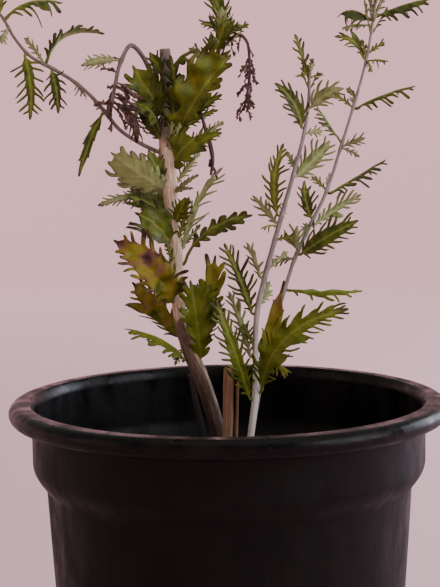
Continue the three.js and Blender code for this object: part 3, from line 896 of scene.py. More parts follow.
# The leaves on each stem, and what differs in the form of each
leavesOn = {
    "woody_stem": {
        "top_leaf": {
            "bladeShare": 0.85, "roll": -20, "fold": -0.5, "scorch": 0.9, "widen": 1.5, "tipward": 0.3,
            "widest": 0.75,
        },
        "yellow_leaf": {
            "sides": (1.6, 0.55), "dry": 0.06, "patch": 0.24, "roll": 34, "wave": 2.0, "fingerPitch": 6,
            "crumple": 1.8, "fingerWidth": 3.0, "bladeShare": 0.88, "fingerReach": 1.0, "tone": -0.2,
            "scorch": 0.5, "widest": 0.66, "tipward": 0.16, "halves": (1, 1), "margin": 0.7,
        },
        "strip_leaf": {
            "bladeShare": 0.88, "dry": 0.04, "patch": 0.12, "roll": 40, "widen": 1.9, "tone": -0.3,
            "crumple": 1.4,
        },
        "upper_left_leaf": {
            "widen": 1.7, "patch": 0.16, "wave": 2.2, "bladeShare": 0.86, "tone": -0.2, "scorch": 0.5,
            "widest": 0.5, "tipward": 0.14, "fingerPitch": 5.2, "fingerWidth": 2.6, "margin": 0.7,
        },
        "upper_arching_leaf": {
            "widen": 1.2, "bladeShare": 0.85, "fold": -0.7, "tone": -0.1, "crumple": 0.4,
        },
        "upper_right_leaf": {
            "widen": 1.5, "tone": 0.5, "bladeShare": 0.84, "fingerPitch": 6.5, "widest": 0.6,
        },
        "broad_grey_leaf": {
            "bladeShare": 0.97, "fingerPitch": 5, "fingerReach": 0.98, "fingerWidth": 3.0,
            "scorch": 0.5, "tone": 0.55, "crumple": 0.5, "widen": 1.15, "widest": 0.62, "dry": 0.0,
            "margin": 0.8,
        },
        "middle_left_leaf": {
            "bladeShare": 0.86, "fingerPitch": 5, "tone": 0.35, "widen": 1.2, "widest": 0.5,
        },
        "curled_left_leaf": {
            "widen": 1.5, "tone": -0.2, "bladeShare": 0.86, "scorch": 1.5, "fingerPitch": 4.6,
            "fingerWidth": 1.6, "fingerLean": (40, 10), "crumple": 1.6, "margin": 0.8,
        },
        "edge_on_leaf": {
            "bladeShare": 0.9, "fingerPitch": 9, "fold": -0.6, "scorch": 1.1, "widen": 1.3,
            "crumple": 0.3,
        },
        "long_grey_leaf": {
            "bladeShare": 0.42, "fingerWidth": 1.1, "fingerPitch": 6, "fingerReach": 1.4,
            "sides": (1.25, 0.45), "widest": 0.3, "scorch": 0.6,
        },
        "arching_right_leaf": {
            "stalkShare": 0.3, "bladeShare": 0.78, "wave": 2.6, "crumple": 1.8, "scorch": 0.9,
            "sides": (0.5, 1.1), "twist": 60, "dry": 0.04, "patch": 0.1,
        },
        "large_withered_leaf": {
            "dry": 0.3, "patch": 0.55, "roll": 36, "crumple": 2.8, "fingerReach": 1.12,
            "fingerWidth": 1.9, "bladeShare": 0.76, "fingerPitch": 4.6, "fingerSweep": (-45, 60),
            "widen": 1.1, "widest": 0.42, "tipward": 0.3, "scorch": 0.8,
        },
        "small_withered_leaf": {
            "dry": 0.42, "patch": 0.6, "roll": 50, "crumple": 3.0, "fingerReach": 1.2,
            "bladeShare": 0.6, "fingerPitch": 4.4, "fingerWidth": 1.6, "fingerSweep": (-50, 70),
            "widen": 1.3, "widest": 0.5,
        },
        "lower_left_leaf": {
            "bladeShare": 0.74, "fold": -0.55, "roll": -16, "fingerWidth": 1.5, "fingerPitch": 4.4,
            "wave": 0.5, "crumple": 0.25, "tone": 0.45, "halves": (0.95, 1.05), "widest": 0.45,
        },
        # its tone is raised as painted light on a leaf that faces away from the lamps
        "lower_upright_leaf": {
            "bladeShare": 0.74, "tone": 0.9, "widen": 1.4, "dry": 0.05, "patch": 0.08,
        },
        "lower_yellow_leaf": {
            "bladeShare": 0.74, "dry": 0.1, "patch": 0.2, "scorch": 0.9, "tipward": 0.34, "widen": 1.25,
            "widest": 0.5, "fingerPitch": 7,
        },
    },
    "crown_shoot": {
        "crown_leaf": {"bladeShare": 0.6, "widen": 1.2, "tone": -0.15},
    },
    "arching_branch": {
        "hanging_leaf_outer": {
            "bladeShare": 0.36, "fingerReach": 1.55, "widest": 0.2, "tone": 0.05,
            "fingerLean": (72, 48), "fingerWidth": 1,
        },
        "hanging_leaf_inner": {
            "bladeShare": 0.4, "fingerReach": 1.3, "widest": 0.25, "dry": 0.05, "fingerLean": (72, 48),
            "fingerWidth": 1,
        },
        "branch_rising_leaf": {
            "fold": 0.8, "roll": 20, "fingerReach": 1.1, "bladeShare": 0.5, "tone": -0.25,
        },
        "branch_side_leaf": {},
        "branch_upright_leaf": {},
        "hanging_leaf_narrow": {
            "bladeShare": 0.9, "fingerReach": 0.75, "fingerPitch": 9, "tone": -0.2, "roll": 60,
        },
    },
    "bent_dry_shoot": {
        "crumpled_leaf": {
            "dry": 0.97, "patch": 0.2, "roll": 80, "crumple": 4.5, "fingerReach": 1.3, "widen": 1.2,
            "scorch": 0.8, "bladeShare": 0.4,
        },
    },
    "front_shoot": {
        "front_low_leaf": {"bladeShare": 0.5, "patch": 0.12, "fingerReach": 1.2, "tone": 0.25},
        "front_right_leaf": {
            "bladeShare": 0.52, "fingerReach": 1.42, "fingerSweep": (0, 60), "wave": 1.1, "tone": 0.55,
            "widest": 0.3, "fingerPitch": 3.9,
        },
        "front_withered_leaf": {
            "bladeShare": 0.98, "fingerPitch": 12, "fingerReach": 1.0, "dry": 0.0, "tipward": 0.76,
            "patch": 0.14, "roll": 40, "crumple": 0.9, "widen": 1.3, "widest": 0.3, "margin": 0.6,
        },
        "front_grey_leaf": {},
        "front_dark_leaf": {"tone": -0.25},
        "front_curled_leaf": {},
        "front_small_leaf": {},
        "front_tall_leaf": {"bladeShare": 0.46, "tone": -0.1},
        "front_pale_leaf": {"bladeShare": 0.55, "widen": 1.1},
        "front_broad_leaf": {"bladeShare": 0.6, "fingerReach": 1.1, "tone": -0.1},
        "front_upper_pale_leaf": {"bladeShare": 0.6, "fingerReach": 1.25, "widen": 1.2},
        "front_tip_leaf": {},
    },
    "back_shoot": {
        "back_narrow_leaf": {
            "bladeShare": 0.8, "fingerPitch": 6, "patch": 0.2, "tone": 0.3, "scorch": 0.5, "widen": 1.6,
            "crumple": 0.6, "fold": -0.4, "roll": -20,
        },
        "back_large_leaf": {"bladeShare": 0.62, "fingerReach": 1.35, "widen": 1.2, "tone": 0.15},
        "back_folded_leaf": {},
        "back_pale_leaf": {},
        "back_dark_leaf": {"bladeShare": 0.6, "tone": -0.1},
        "back_middle_leaf": {"bladeShare": 0.45, "tone": -0.2},
        "back_right_leaf": {"fingerReach": 1.45, "bladeShare": 0.45, "tone": -0.3},
        "back_left_leaf": {"bladeShare": 0.4, "fingerReach": 1.5, "tone": -0.2},
        "back_upper_left_leaf": {
            "bladeShare": 0.85, "fingerPitch": 6, "scorch": 1.0, "widen": 2.0, "tone": -0.25,
        },
        "back_upper_right_leaf": {"bladeShare": 0.75, "scorch": 1.0, "widen": 1.8, "tone": -0.45},
        "back_top_leaf": {},
    },
}


def leafSpine(root, foot, control, tip, upper, twist):
    # A run of points from inside the stem to the tip, with the leaf's sideways and upward
    # directions at each
    run = np.linspace(0, 1, 48)[:, None]
    curve = foot * (1 - run) ** 2 + control * 2 * run * (1 - run) + tip * run**2
    line = smoothLine(np.vstack([root, curve[::6], curve[-1:]]), 0.5)
    tangent = unit(np.gradient(line, axis=0))
    side = unit(np.cross(upper, tangent))
    up = np.cross(tangent, side)
    turn = np.radians(twist) * np.linspace(0, 1, len(line))[:, None]
    sideways = side * np.cos(turn) + up * np.sin(turn)
    upward = up * np.cos(turn) - side * np.sin(turn)
    return {"line": line, "side": sideways, "up": upward, "along": lengthsAlong(line)}


def leafFullness(share, widest):  # how wide the leaf is, from its stalk to its tip
    share = min(1, max(0, share))
    if share < widest:
        return 0.4 + 0.6 * math.sin(math.pi / 2 * share / widest)
    return 0.2 + 0.8 * math.cos(math.pi / 2 * (share - widest) / (1 - widest))


def leafSide(length, width, form, share, rng):
    # One half of the flat leaf: its edge from the foot to the tip, as (along, across), and the
    # middle line of each finger
    stalk = form["stalkShare"] * length
    half = width / 2 * share * rng.uniform(*form["halves"])
    blade = length - stalk
    count = max(3, round(blade / form["fingerPitch"] - 0.8))
    thick, thin = form["fingerTaper"]
    pitch = blade / (count + 0.75)
    stalkHalf = form["stalkWidth"] / 2
    edge = [(0, stalkHalf), (stalk * 0.5, stalkHalf), (stalk, stalkHalf)]
    fingers = []
    for i in range(count):
        root = stalk + pitch * (i + 0.62 + rng.uniform(-1, 1) * form["pitchVariety"])
        place = (root - stalk) / blade
        fullness = half * leafFullness(place, form["widest"])
        web = max(stalkHalf, fullness * form["bladeShare"])
        reach = fullness * form["fingerReach"] * rng.uniform(0.72, 1.12)
        lean = form["fingerLean"][0] + (form["fingerLean"][1] - form["fingerLean"][0]) * place
        lean = math.radians(lean + rng.uniform(-9, 9))
        sweepBack = math.radians(rng.uniform(*form["fingerSweep"]))
        extent = max(form["fingerWidth"], (reach - web * 0.75) / math.sin(lean))
        halfFinger = min(form["fingerWidth"] / 2 * rng.uniform(0.85, 1.15), pitch * 0.27)
        place = np.array([root, web * 0.75])
        middles, lower, upper = [], [], []
        steps = 9
        for k in range(steps + 1):
            u = k / steps
            heading = lean - sweepBack * u
            direction = np.array([math.cos(heading), math.sin(heading)])
            outward = np.array([-direction[1], direction[0]])
            taper = thick + (thin - thick) * u
            blunt = math.sqrt(max(0.0, 1 - max(0.0, (u - 0.66) / 0.34) ** 2))
            middles.append(place.copy())
            lower.append(place + outward * halfFinger * taper * blunt)
            upper.append(place - outward * halfFinger * taper * blunt)
            place = place + direction * extent / steps
        edge += [tuple(p) for p in lower[1:]] + [tuple(p) for p in upper[-2:0:-1]]
        fingers.append({
            "middles": np.array(middles), "web": web, "curl": rng.uniform(-1, 1.4), "dry": rng.uniform(0, 1),
        })
    edge += [(length - pitch * 0.55, 0.95), (length - 0.9, 0.6), (length - 0.2, 0.25)]
    return edge, fingers


def flatLeaf(length, width, form, rng):
    rightEdge, rightFingers = leafSide(length, width, form, form["sides"][0], rng)
    leftEdge, leftFingers = leafSide(length, width, form, form["sides"][1], rng)
    outline = rightEdge + [(length, 0.0)] + [(x, -y) for x, y in leftEdge[::-1]]
    outline = evenOutline(outline, 0.55)
    for finger in leftFingers:
        finger["middles"] = finger["middles"] * [1, -1]
    fingers = rightFingers + leftFingers
    midrib = np.arange(0.6, length - 0.8, 0.8)
    ribs = [np.stack([midrib, np.zeros(len(midrib))], 1)]
    for finger in fingers:
        start = finger["middles"][0]
        foot = np.array([max(1.0, start[0] - abs(start[1]) * 1.1), 0.25 * np.sign(start[1])])
        line = np.vstack([foot, finger["middles"][:-2]])
        ribs.append(evenOutline(line, 0.8, closed=False))
    points, triangles = fillOutline(outline, ribs, 1.0, rng)
    toEdge = nearestTo(points, evenOutline(outline, 0.3))[0]
    toRib = nearestTo(points, np.vstack([evenOutline(rib, 0.3, closed=False) for rib in ribs]))[0]
    return points, triangles, fingers, toEdge, toRib


def growLeaf(name, spine, width, form, seed, nodes=()):
    rng = random.Random(seed)
    length = spine["along"][-1]
    flat, triangles, fingers, toEdge, toRib = flatLeaf(length, width, form, rng)
    along, across = flat[:, 0], flat[:, 1]
    half = width / 2
    stalk = form["stalkShare"] * length
    middles = np.vstack([finger["middles"] for finger in fingers])
    owner = np.repeat(np.arange(len(fingers)), [len(finger["middles"]) for finger in fingers])
    finger = owner[nearestTo(flat, middles)[1]]
    web = np.array([each["web"] for each in fingers])[finger]
    curl = np.array([each["curl"] for each in fingers])[finger]
    brown = np.array([each["dry"] for each in fingers])[finger]
    out = np.maximum(0, np.abs(across) - web * 0.8)
    # the half rolls up towards its margin, and each finger curls on its own
    rollRadius = max(half, 3) / math.radians(form["roll"])
    rolled = rollRadius * np.sin(across / rollRadius)
    height = rollRadius * (1 - np.cos(across / rollRadius)) + form["fold"] * np.abs(across)
    height += form["fingerCurl"] * curl * out**2
    onBlade = softStep(along, stalk * 0.8, stalk * 1.5)
    wavelength = form["fingerPitch"] * 2.3
    phase = rng.uniform(0, 6)
    swing = np.sin(along * 2 * math.pi / wavelength + phase) * np.abs(across) / max(half, 1)
    height += form["wave"] * swing * onBlade
    sample = np.stack([along, across, np.full(len(flat), seed * 9.7)], 1)
    height += form["crumple"] * roughAt(sample, 6, seed) * onBlade
    rolled = rolled * (1 - 0.12 * form["crumple"] * np.abs(roughAt(sample, 9, seed + 3)))
    height += form["pucker"] * roughAt(sample, 2.2, seed + 1) * onBlade * softStep(toRib, 0, 0.8)
    slim = 1 - 0.55 * along / length
    upperSide = height - form["veinGroove"] * np.exp(-((toRib / 0.4) ** 2)) * onBlade
    stalkDepth = form["stalkDepth"] * (1 - softStep(along, stalk * 0.7, stalk * 1.6))
    depth = form["depth"] * (0.35 + 0.65 * softStep(toEdge, 0, 0.7))
    ridge = form["veinRidge"] * np.exp(-((toRib / 0.45) ** 2)) * slim * onBlade
    depth = np.maximum(depth, stalkDepth) + ridge
    line, side, up = [readAt(along, spine["along"], spine[title]) for title in ("line", "side", "up")]
    upperPoints = line + side * rolled[:, None] + up * (upperSide + 0.2)[:, None]
    underPoints = upperPoints - up * depth[:, None]
    faces, facing = twoSided(triangles, len(flat))
    patches = 0.8 * roughAt(sample, 7, seed + 5) + 0.5 * roughAt(sample, 2.6, seed + 6)
    dry = form["dry"] + form["tipward"] * along / length + form["patch"] * patches
    fingerShare = softStep(out / np.maximum(half * form["fingerReach"] - web, 1), 0.3, 0.9)
    scorch = np.maximum(fingerShare * (0.55 + 0.45 * brown), softStep(along / length, 0.88, 0.98))
    margin = (1 - softStep(toEdge, 0.2, 1.5)) * softStep(roughAt(sample, 4, seed + 7), -0.25, 0.25) * onBlade
    scorch = np.clip(np.maximum(form["scorch"] * scorch, form["margin"] * margin), 0, 1)
    tone = np.full(len(flat), form["tone"] + rng.uniform(-0.25, 0.25))
    rib = np.minimum(np.abs(across) * 0.6, toRib + 0.28)
    values = {"dry": np.clip(dry, 0, 1), "rib": rib, "tone": tone, "scorch": scorch}
    values = {title: np.concatenate([each, each]) for title, each in values.items()}
    points = np.vstack([upperPoints, underPoints])
    makePiece(name, points, faces, [leafUpper, leafUnder], nodes, values, facing)


def plainName(node):  # front_right_leaf becomes frontRightLeaf
    first, *rest = node.split("_")
    return first + "".join(word.capitalize() for word in rest)


leafNumber = 0
for stemName, leaves in leavesOn.items():
    stem = stems[stemName]
    for node, ownForm in leaves.items():
        leafNumber += 1
        leaf = readLeaf(node, stem["line"])
        nearest = np.linalg.norm(stem["line"] - leaf["foot"], axis=1).argmin()
        stem["nodes"].append(stem["along"][nearest])
        form = {**leafForm, **leafKinds[slotOf[node]]}
        if stemName == "woody_stem" and slotOf[node] != "withered":
            form.update(oldForm)
        if leaf["upper"][2] > 0.6:
            form.update(flatForm)
        form.update(ownForm)
        twist = random.Random(leafNumber).uniform(-1, 1) * form["twist"]
        spine = leafSpine(
            stem["line"][nearest], leaf["foot"], leaf["control"], leaf["tip"], leaf["upper"], twist,
        )
        width = leaf["width"] * form["widen"]
        growLeaf(plainName(node), spine, width, form, leafNumber, [node])
print("leaves grown:", leafNumber)


# Of each small leaf: the height above the middle of the potting mix where it joins, the way from
# there to its tip, its width, and what differs in its kind, the way it faces and its form
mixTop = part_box("potting_mix")[1].z / mm
facingFront = (0, -1, 0.4)
facingUp = (0, -0.4, 1)
facingBack = (0, 1, 0.4)
threadForm = {"bladeShare": 0.95, "fingerReach": 0.6, "roll": 80, "scorch": 0.9, "tone": -0.3}
smallLeaves = {
    "woody_stem": [
        (209, (-8, -7, 10), 8, {"bladeShare": 0.9, "dry": 0.1}),
        (182, (28, -4, 16), 8, {"kind": "leaf_yellow", "bladeShare": 0.8, "dry": 0.1}),
        (180, (26, 3, 11), 6, {"bladeShare": 0.7}),
        (154, (-10, -10, 17), 9, {"bladeShare": 0.9}),
        (149, (-36, -12, -6), 6, {"kind": "leaf_grey", "bladeShare": 0.7, "scorch": 0.8}),
        (134, (7, -12, 13), 9, {"bladeShare": 0.7, "tone": 0.3}),
        (68, (16, -2, 27), 12, {"bladeShare": 0.7, "tone": 0.15}),
        (71, (5, 5, 32), 12, {"bladeShare": 0.75, "tone": 0.2}),
        (171, (3, -10, 14), 5, {"kind": "leaf_grey"}),
        (170, (7, -10, 14), 5, {"kind": "leaf_grey"}),
        (165, (29, 10, 20), 7, {"kind": "leaf_grey"}),
        (153, (16, 8, 17), 6, {"kind": "leaf_grey"}),
        (125, (8, -8, 22), 5, {}),
        (149, (12, -12, 2), 3, {"kind": "leaf_grey", **threadForm}),
        (150, (15, -10, 8), 3, {"kind": "leaf_grey", **threadForm}),
        (120, (13, 6, 13), 4, {}),
        (114, (-5, -8, 10), 4, {}),
        (70, (-7, -8, -8), 4, {}),
        (140, (-22, -9, 8), 11, {"bladeShare": 0.8}),
        (167, (28, -6, 12), 9, {"bladeShare": 0.7, "tone": 0.2}),
        (176, (-14, -9, 22), 12, {"bladeShare": 0.8}),
        (84, (16, -4, 19), 10, {"kind": "leaf_yellow", "bladeShare": 0.7, "dry": 0.14}),
        (126, (-17, -9, 4), 9, {"bladeShare": 0.75}),
        (150, (-4, 15, 12), 8, {"face": facingBack}),
        (119, (2, 20, 12), 8, {"face": facingBack}),
        (68, (4, 17, 11), 8, {"face": facingBack}),
    ],
    "crown_shoot": [
        (188, (9, 6, 24), 7, {}),
        (229, (11, -2, 4), 5, {}),
        (229, (-14, -4, 4), 7, {"bladeShare": 0.6}),
        (226, (-1, -7, 16), 10, {"kind": "leaf_grey", "bladeShare": 0.7}),
        (216, (-1, -7, 13), 8, {"bladeShare": 0.6}),
        (222, (8, -5, 14), 8, {"bladeShare": 0.5}),
        (205, (-3, 14, 12), 6, {"face": facingBack}),
        (212, (11, -4, 9), 9, {"bladeShare": 0.6}),
        (214, (-12, -3, 8), 8, {"bladeShare": 0.6}),
        (219, (6, -8, 17), 9, {"bladeShare": 0.55, "tone": 0.2}),
    ],
    "arching_branch": [
        (212, (-10, 4, 13), 5, {"kind": "leaf_grey"}),
        (228, (-3, -4, -8), 5, {"kind": "leaf_grey"}),
        (188, (-8, 10, 8), 5, {"face": facingUp}),
        (203, (4, 12, -6), 5, {"face": facingUp}),
    ],
    "bent_dry_shoot": [
        (214, (-19, -8, -3), 7, {"face": facingBack, "bladeShare": 0.75, "tone": 0.2}),
    ],
    "front_shoot": [
        (73, (-6, -6, 12), 5, {}),
        (65, (17, -14, -4), 7, {"kind": "leaf_yellow", "face": facingUp}),
        (111, (11, 6, 8), 4, {"kind": "leaf_grey"}),
        (126, (10, -4, 1), 4, {}),
        (133, (-9, -6, -1), 3, {"face": facingUp}),
        (96, (6, 4, 9), 4, {"kind": "leaf_grey"}),
        (93, (8, 9, 7), 5, {"face": facingBack}),
        (177, (10, 6, 1), 5, {"kind": "leaf_grey"}),
        (206, (-7, -4, -2), 2.5, {"face": facingUp}),
        (204, (7, 4, 2), 2.5, {"face": facingUp}),
        (161, (-4, 4, 8), 3, {"kind": "leaf_grey"}),
        (136, (4, 14, 8), 6, {"face": facingBack}),
        (160, (-2, 12, 7), 6, {"face": facingBack}),
    ],
    "back_shoot": [
        (127, (0, -6, 6), 4, {"kind": "leaf_grey"}),
        (174, (-14, -6, 19), 6, {"face": facingUp}),
        (114, (-12, 6, -3), 5, {"kind": "leaf_grey"}),
        (149, (-8, 4, 7), 4, {}),
        (172, (12, -6, 4), 7, {"kind": "leaf_grey"}),
        (171, (9, -8, -5), 3, {"kind": "leaf_grey"}),
        (192, (-10, 4, 7), 4, {}),
        (197, (-5, 2, 5), 3, {}),
        (216, (11, -4, -1), 4, {"face": facingUp}),
        (220, (9, -2, 5), 4, {}),
        (218, (-3, -4, 9), 3, {}),
        (216, (2, -8, -7), 3, {"face": facingUp}),
        (234, (-17, -6, -2), 5, {"face": facingUp}),
        (149, (4, 14, 8), 6, {"face": facingBack}),
        (193, (2, 13, 7), 5, {"face": facingBack}),
    ],
}
smallForm = {
    "stalkShare": 0.16, "stalkWidth": 0.9, "stalkDepth": 0.7, "fingerPitch": 3.0, "fingerWidth": 0.85,
    "depth": 0.34, "wave": 0.4, "bladeShare": 0.42, "crumple": 0.15, "fingerReach": 1.4, "widest": 0.45,
}


def addSmallLeaf(name, stem, nearest, spec, seed):
    kind = spec.get("kind", "leaf_green")
    line = stem["line"]
    root = line[nearest]
    reach = np.array(spec["reach"], float)
    stemWay = unit(line[min(nearest + 1, len(line) - 1)] - line[max(nearest - 1, 0)])
    outward = unit(reach - stemWay * (reach @ stemWay))
    foot = root + outward * stem["radii"][nearest] * 0.9
    tip = root + reach
    face = np.array(spec.get("face", facingBack if kind == "leaf_grey" else facingFront), float)
    bow = np.array([0, 0, 0.07 * np.linalg.norm(reach)]) + outward * 0.06 * np.linalg.norm(reach)
    control = (foot + tip) / 2 + bow * 2 * (0.5 if face[1] > 0.5 else 1)
    form = {**leafForm, **leafKinds[kind], **smallForm}
    if face[2] > 0.6:
        form.update(flatForm)
    form.update(spec)
    spine = leafSpine(root, foot, control, tip, face, random.Random(seed).uniform(-1, 1) * form["twist"])
    stem["nodes"].append(stem["along"][nearest])
    growLeaf(name, spine, spec["width"], form, seed)


for stemName, rows in smallLeaves.items():
    stem = stems[stemName]
    for count, (up, reach, width, own) in enumerate(rows, 1):
        leafNumber += 1
        nearest = np.abs(stem["line"][:, 2] - mixTop - up).argmin()
        spec = {"reach": reach, "width": width, **own}
        addSmallLeaf(f"{plainName(stemName)}SmallLeaf{count}", stem, nearest, spec, leafNumber)
print("small leaves grown, in all:", leafNumber)


# Young leaves stand in pairs round a growing tip, each pair square to the one below
tuftSettings = {
    "front_shoot": {"pairs": 3, "from": 9, "length": (9, 5), "width": 2.6, "spread": 30},
    "back_shoot": {"pairs": 4, "from": 15, "length": (17, 8), "width": 3.2, "spread": 26},
    "arching_branch": {"pairs": 3, "from": 10, "length": (15, 8), "width": 3.4, "spread": 34},
    "crown_shoot": {"pairs": 3, "from": 8, "length": (14, 8), "width": 3.6, "spread": 30},
}


def growTuft(stemName, settings):
    stem = stems[stemName]
    across, over = framesAlong(stem["line"])
    total = stem["along"][-1]
    made = 0
    for pair in range(settings["pairs"]):
        share = pair / max(1, settings["pairs"] - 1)
        nearest = np.abs(stem["along"] - (total - settings["from"] * (1 - share) - 0.6)).argmin()
        length = settings["length"][0] + (settings["length"][1] - settings["length"][0]) * share
        spread = math.radians(settings["spread"] * (1 - 0.35 * share))
        stemWay = unit(stem["line"][nearest] - stem["line"][nearest - 2])
        for turn in (0, math.pi):
            angle = turn + pair * math.pi / 2 + 0.5
            outward = across[nearest] * math.cos(angle) + over[nearest] * math.sin(angle)
            reach = (stemWay * math.cos(spread) + outward * math.sin(spread)) * length
            face = stemWay * 0.6 - outward
            made += 1
            spec = {"reach": reach, "width": settings["width"], "face": face}
            name = f"{plainName(stemName)}YoungLeaf{made}"
            seed = 300 + made + len(stemName) * 20  # a run of seeds of its own for each stem
            addSmallLeaf(name, stem, nearest, spec, seed)


for stemName, settings in tuftSettings.items():
    growTuft(stemName, settings)
print("tips grown")


def roughRound(turns, radius, runs, size, seed):  # noise on a tube of that radius
    sample = np.stack([np.cos(turns) * radius, np.sin(turns) * radius, runs], -1).reshape(-1, 3)
    return roughAt(sample, size, seed).reshape(turns.shape)


def stemRelief(stem, settings, seed):
    # a rounded square section with a shallow groove on each face, swollen nodes, and on bark
    # strings of cork that are missing where it has peeled
    radii = stem["radii"][:, None]

    def relief(turns, runs, outward):
        flat = settings["square"] * np.cos(4 * (turns + 0.35)) * radii
        swelling = np.zeros_like(runs)
        for node in stem["nodes"]:
            swelling = np.maximum(swelling, np.exp(-(((runs - node) / 2.0) ** 2)))
        swelling = swelling * settings["swell"] * radii
        grainy = roughRound(turns, radii, runs / 4, 0.9, seed) * 0.05 * radii
        return flat + swelling + grainy + barkOf(turns, runs, outward) * settings.get("bark", 0)

    def barkOf(turns, runs, outward):
        if "bark" not in settings:
            return np.zeros_like(turns)
        strings = roughRound(turns, 3, runs / 14, 1.1, seed + 2)
        return (1 - peelTowardLightOf(turns, runs, outward)) * (0.7 + 0.9 * strings)

    def peelTowardLightOf(turns, runs, outward):
        # bark goes first from the side that faces right and front, and from all round higher up; pale wood
        # on the side the lights fall on and dark bark on the shaded side is partly painted light and shade
        ragged = roughRound(turns, 3, runs / 5, 2.2, seed + 4)
        facing = outward[..., 0] * 0.8 - outward[..., 1] * 0.25
        up = np.interp(runs, stem["along"], stem["line"][:, 2]) - mixTop
        high = softStep(up + 8 * ragged, *settings["peeled"])
        return softStep(facing + 0.5 * ragged - 0.98 + 1.6 * high, -0.16, 0.16)

    return relief, peelTowardLightOf


# Soil splashed up from the potting mix, together with painted shade inside the pot, fading out above the
# pot, in mm above the mix
stainAndShadeSettings = {"full": 30, "none": 66, "ragged": 14}


def stainAndShadeOf(points, foot, top):
    up = points[:, 2] - mixTop + stainAndShadeSettings["ragged"] * roughAt(points, 9, 8)
    stainAndShadeShare = 1 - softStep(up, stainAndShadeSettings["full"], stainAndShadeSettings["none"])
    return top + (foot - top) * stainAndShadeShare


def growStem(node, settings, seed):
    stem = stems[node]
    relief, peelTowardLightOf = stemRelief(stem, settings, seed)
    sides = settings["sides"]
    points, grain, faces = sweep(stem["line"], stem["radii"], sides, relief)
    wear = np.zeros(len(points))
    if "bark" in settings:
        wear = peelTowardLightOf(*roundLine(stem["line"], sides)).ravel()
    dome = 0.15 if settings.get("cut") else 0.5 * stem["radii"][-1]
    points, grain, faces = closeEnds(points, grain, faces, sides, stem["line"], dome)
    wear = np.concatenate([wear, np.zeros(len(points) - len(wear))])
    # darkens the foot with soil and with painted shade inside the pot
    stain = stainAndShadeOf(points, *settings.get("soil", (0, 0)))
    second = softStep(
        points[:, 2] - mixTop + 12 * roughAt(points, 6, 9), *settings.get("second", (1e4, 2e4)),
    )
    makePiece(
        plainName(node), points, faces, [settings["skin"]], [node],
        {"grain": grain, "wear": wear, "stain": stain, "second": second},
    )


for count, (node, settings) in enumerate(stemSettings.items()):
    growStem(node, settings, 40 + count)
print("stems grown")


# Curls of dead leaf that hang from the dry stems, and the form that they all share
witheredForm = {
    "dry": 0.86, "patch": 0.22, "crumple": 1.3, "roll": 130, "fingerCurl": 0.25, "scorch": 0.4,
    "bladeShare": 0.6, "wave": 1.2, "twist": 140, "fingerSweep": (-30, 40), "fingerReach": 1.1,
}
witheredLeaves = [
    {"stem": "withered_spray", "from": 6, "pitch": 6, "length": (6, 10), "width": 2.2, "way": (0, 0, -3)},
    {
        "stem": "withered_spray", "from": 26, "pitch": 3.2, "length": (6, 10), "width": 2.6,
        "way": (0, 0, -2.6),
    },
    {"stem": "withered_spray", "from": 30, "pitch": 8, "length": (7, 12), "width": 2.6, "way": (-2, 0, -3)},
    {
        "stem": "bent_dry_shoot", "from": 44, "pitch": 8, "length": (8, 12), "width": 4,
        "way": (-1.2, 0, 0.2),
    },
    {
        "stem": "bent_dry_shoot", "from": 55, "pitch": 2.0, "length": (8, 15), "width": 4.6,
        "way": (0.7, -0.2, -1.2),
    },
    {
        "stem": "bent_dry_shoot", "from": 58, "pitch": 2.4, "length": (14, 24), "width": 3.2,
        "way": (1.7, -0.2, -1.2),
    },
    {"stem": "dry_strand", "from": 36, "pitch": 5, "length": (5, 8), "width": 3, "way": (0, 0, -2)},
]


def hangWithered(settings, made, seed):
    rng = random.Random(seed)
    stemName = settings["stem"]
    stem = stems[stemName]
    place = settings["from"]
    while place < stem["along"][-1]:
        nearest = np.abs(stem["along"] - place).argmin()
        angle = rng.uniform(0, 2 * math.pi)
        length = rng.uniform(*settings["length"])
        way = np.array([math.cos(angle), math.sin(angle), 0.3 * rng.uniform(-1, 1)]) + settings["way"]
        made += 1
        spec = {
            "reach": unit(way) * length, "width": settings["width"] * rng.uniform(0.8, 1.1),
            "kind": "withered", "face": (math.cos(angle + 1.2), math.sin(angle + 1.2), 0.3), **witheredForm,
        }
        addSmallLeaf(f"{plainName(stemName)}Curl{made}", stem, nearest, spec, seed + made)
        place += settings["pitch"] * rng.uniform(0.8, 1.2)
    return made


curls = 0
for count, settings in enumerate(witheredLeaves):
    curls = hangWithered(settings, curls, 500 + 40 * count)
print("withered bits hung")


stakeSettings = {
    "width": 8, "depth": 2.4, "above": 62, "below": 30, "splitWidth": 1.2, "splitLength": 50,
    "splitPlace": 0.35, "lean": 2, "foot": (0, -4), "rounding": 0.5,
}


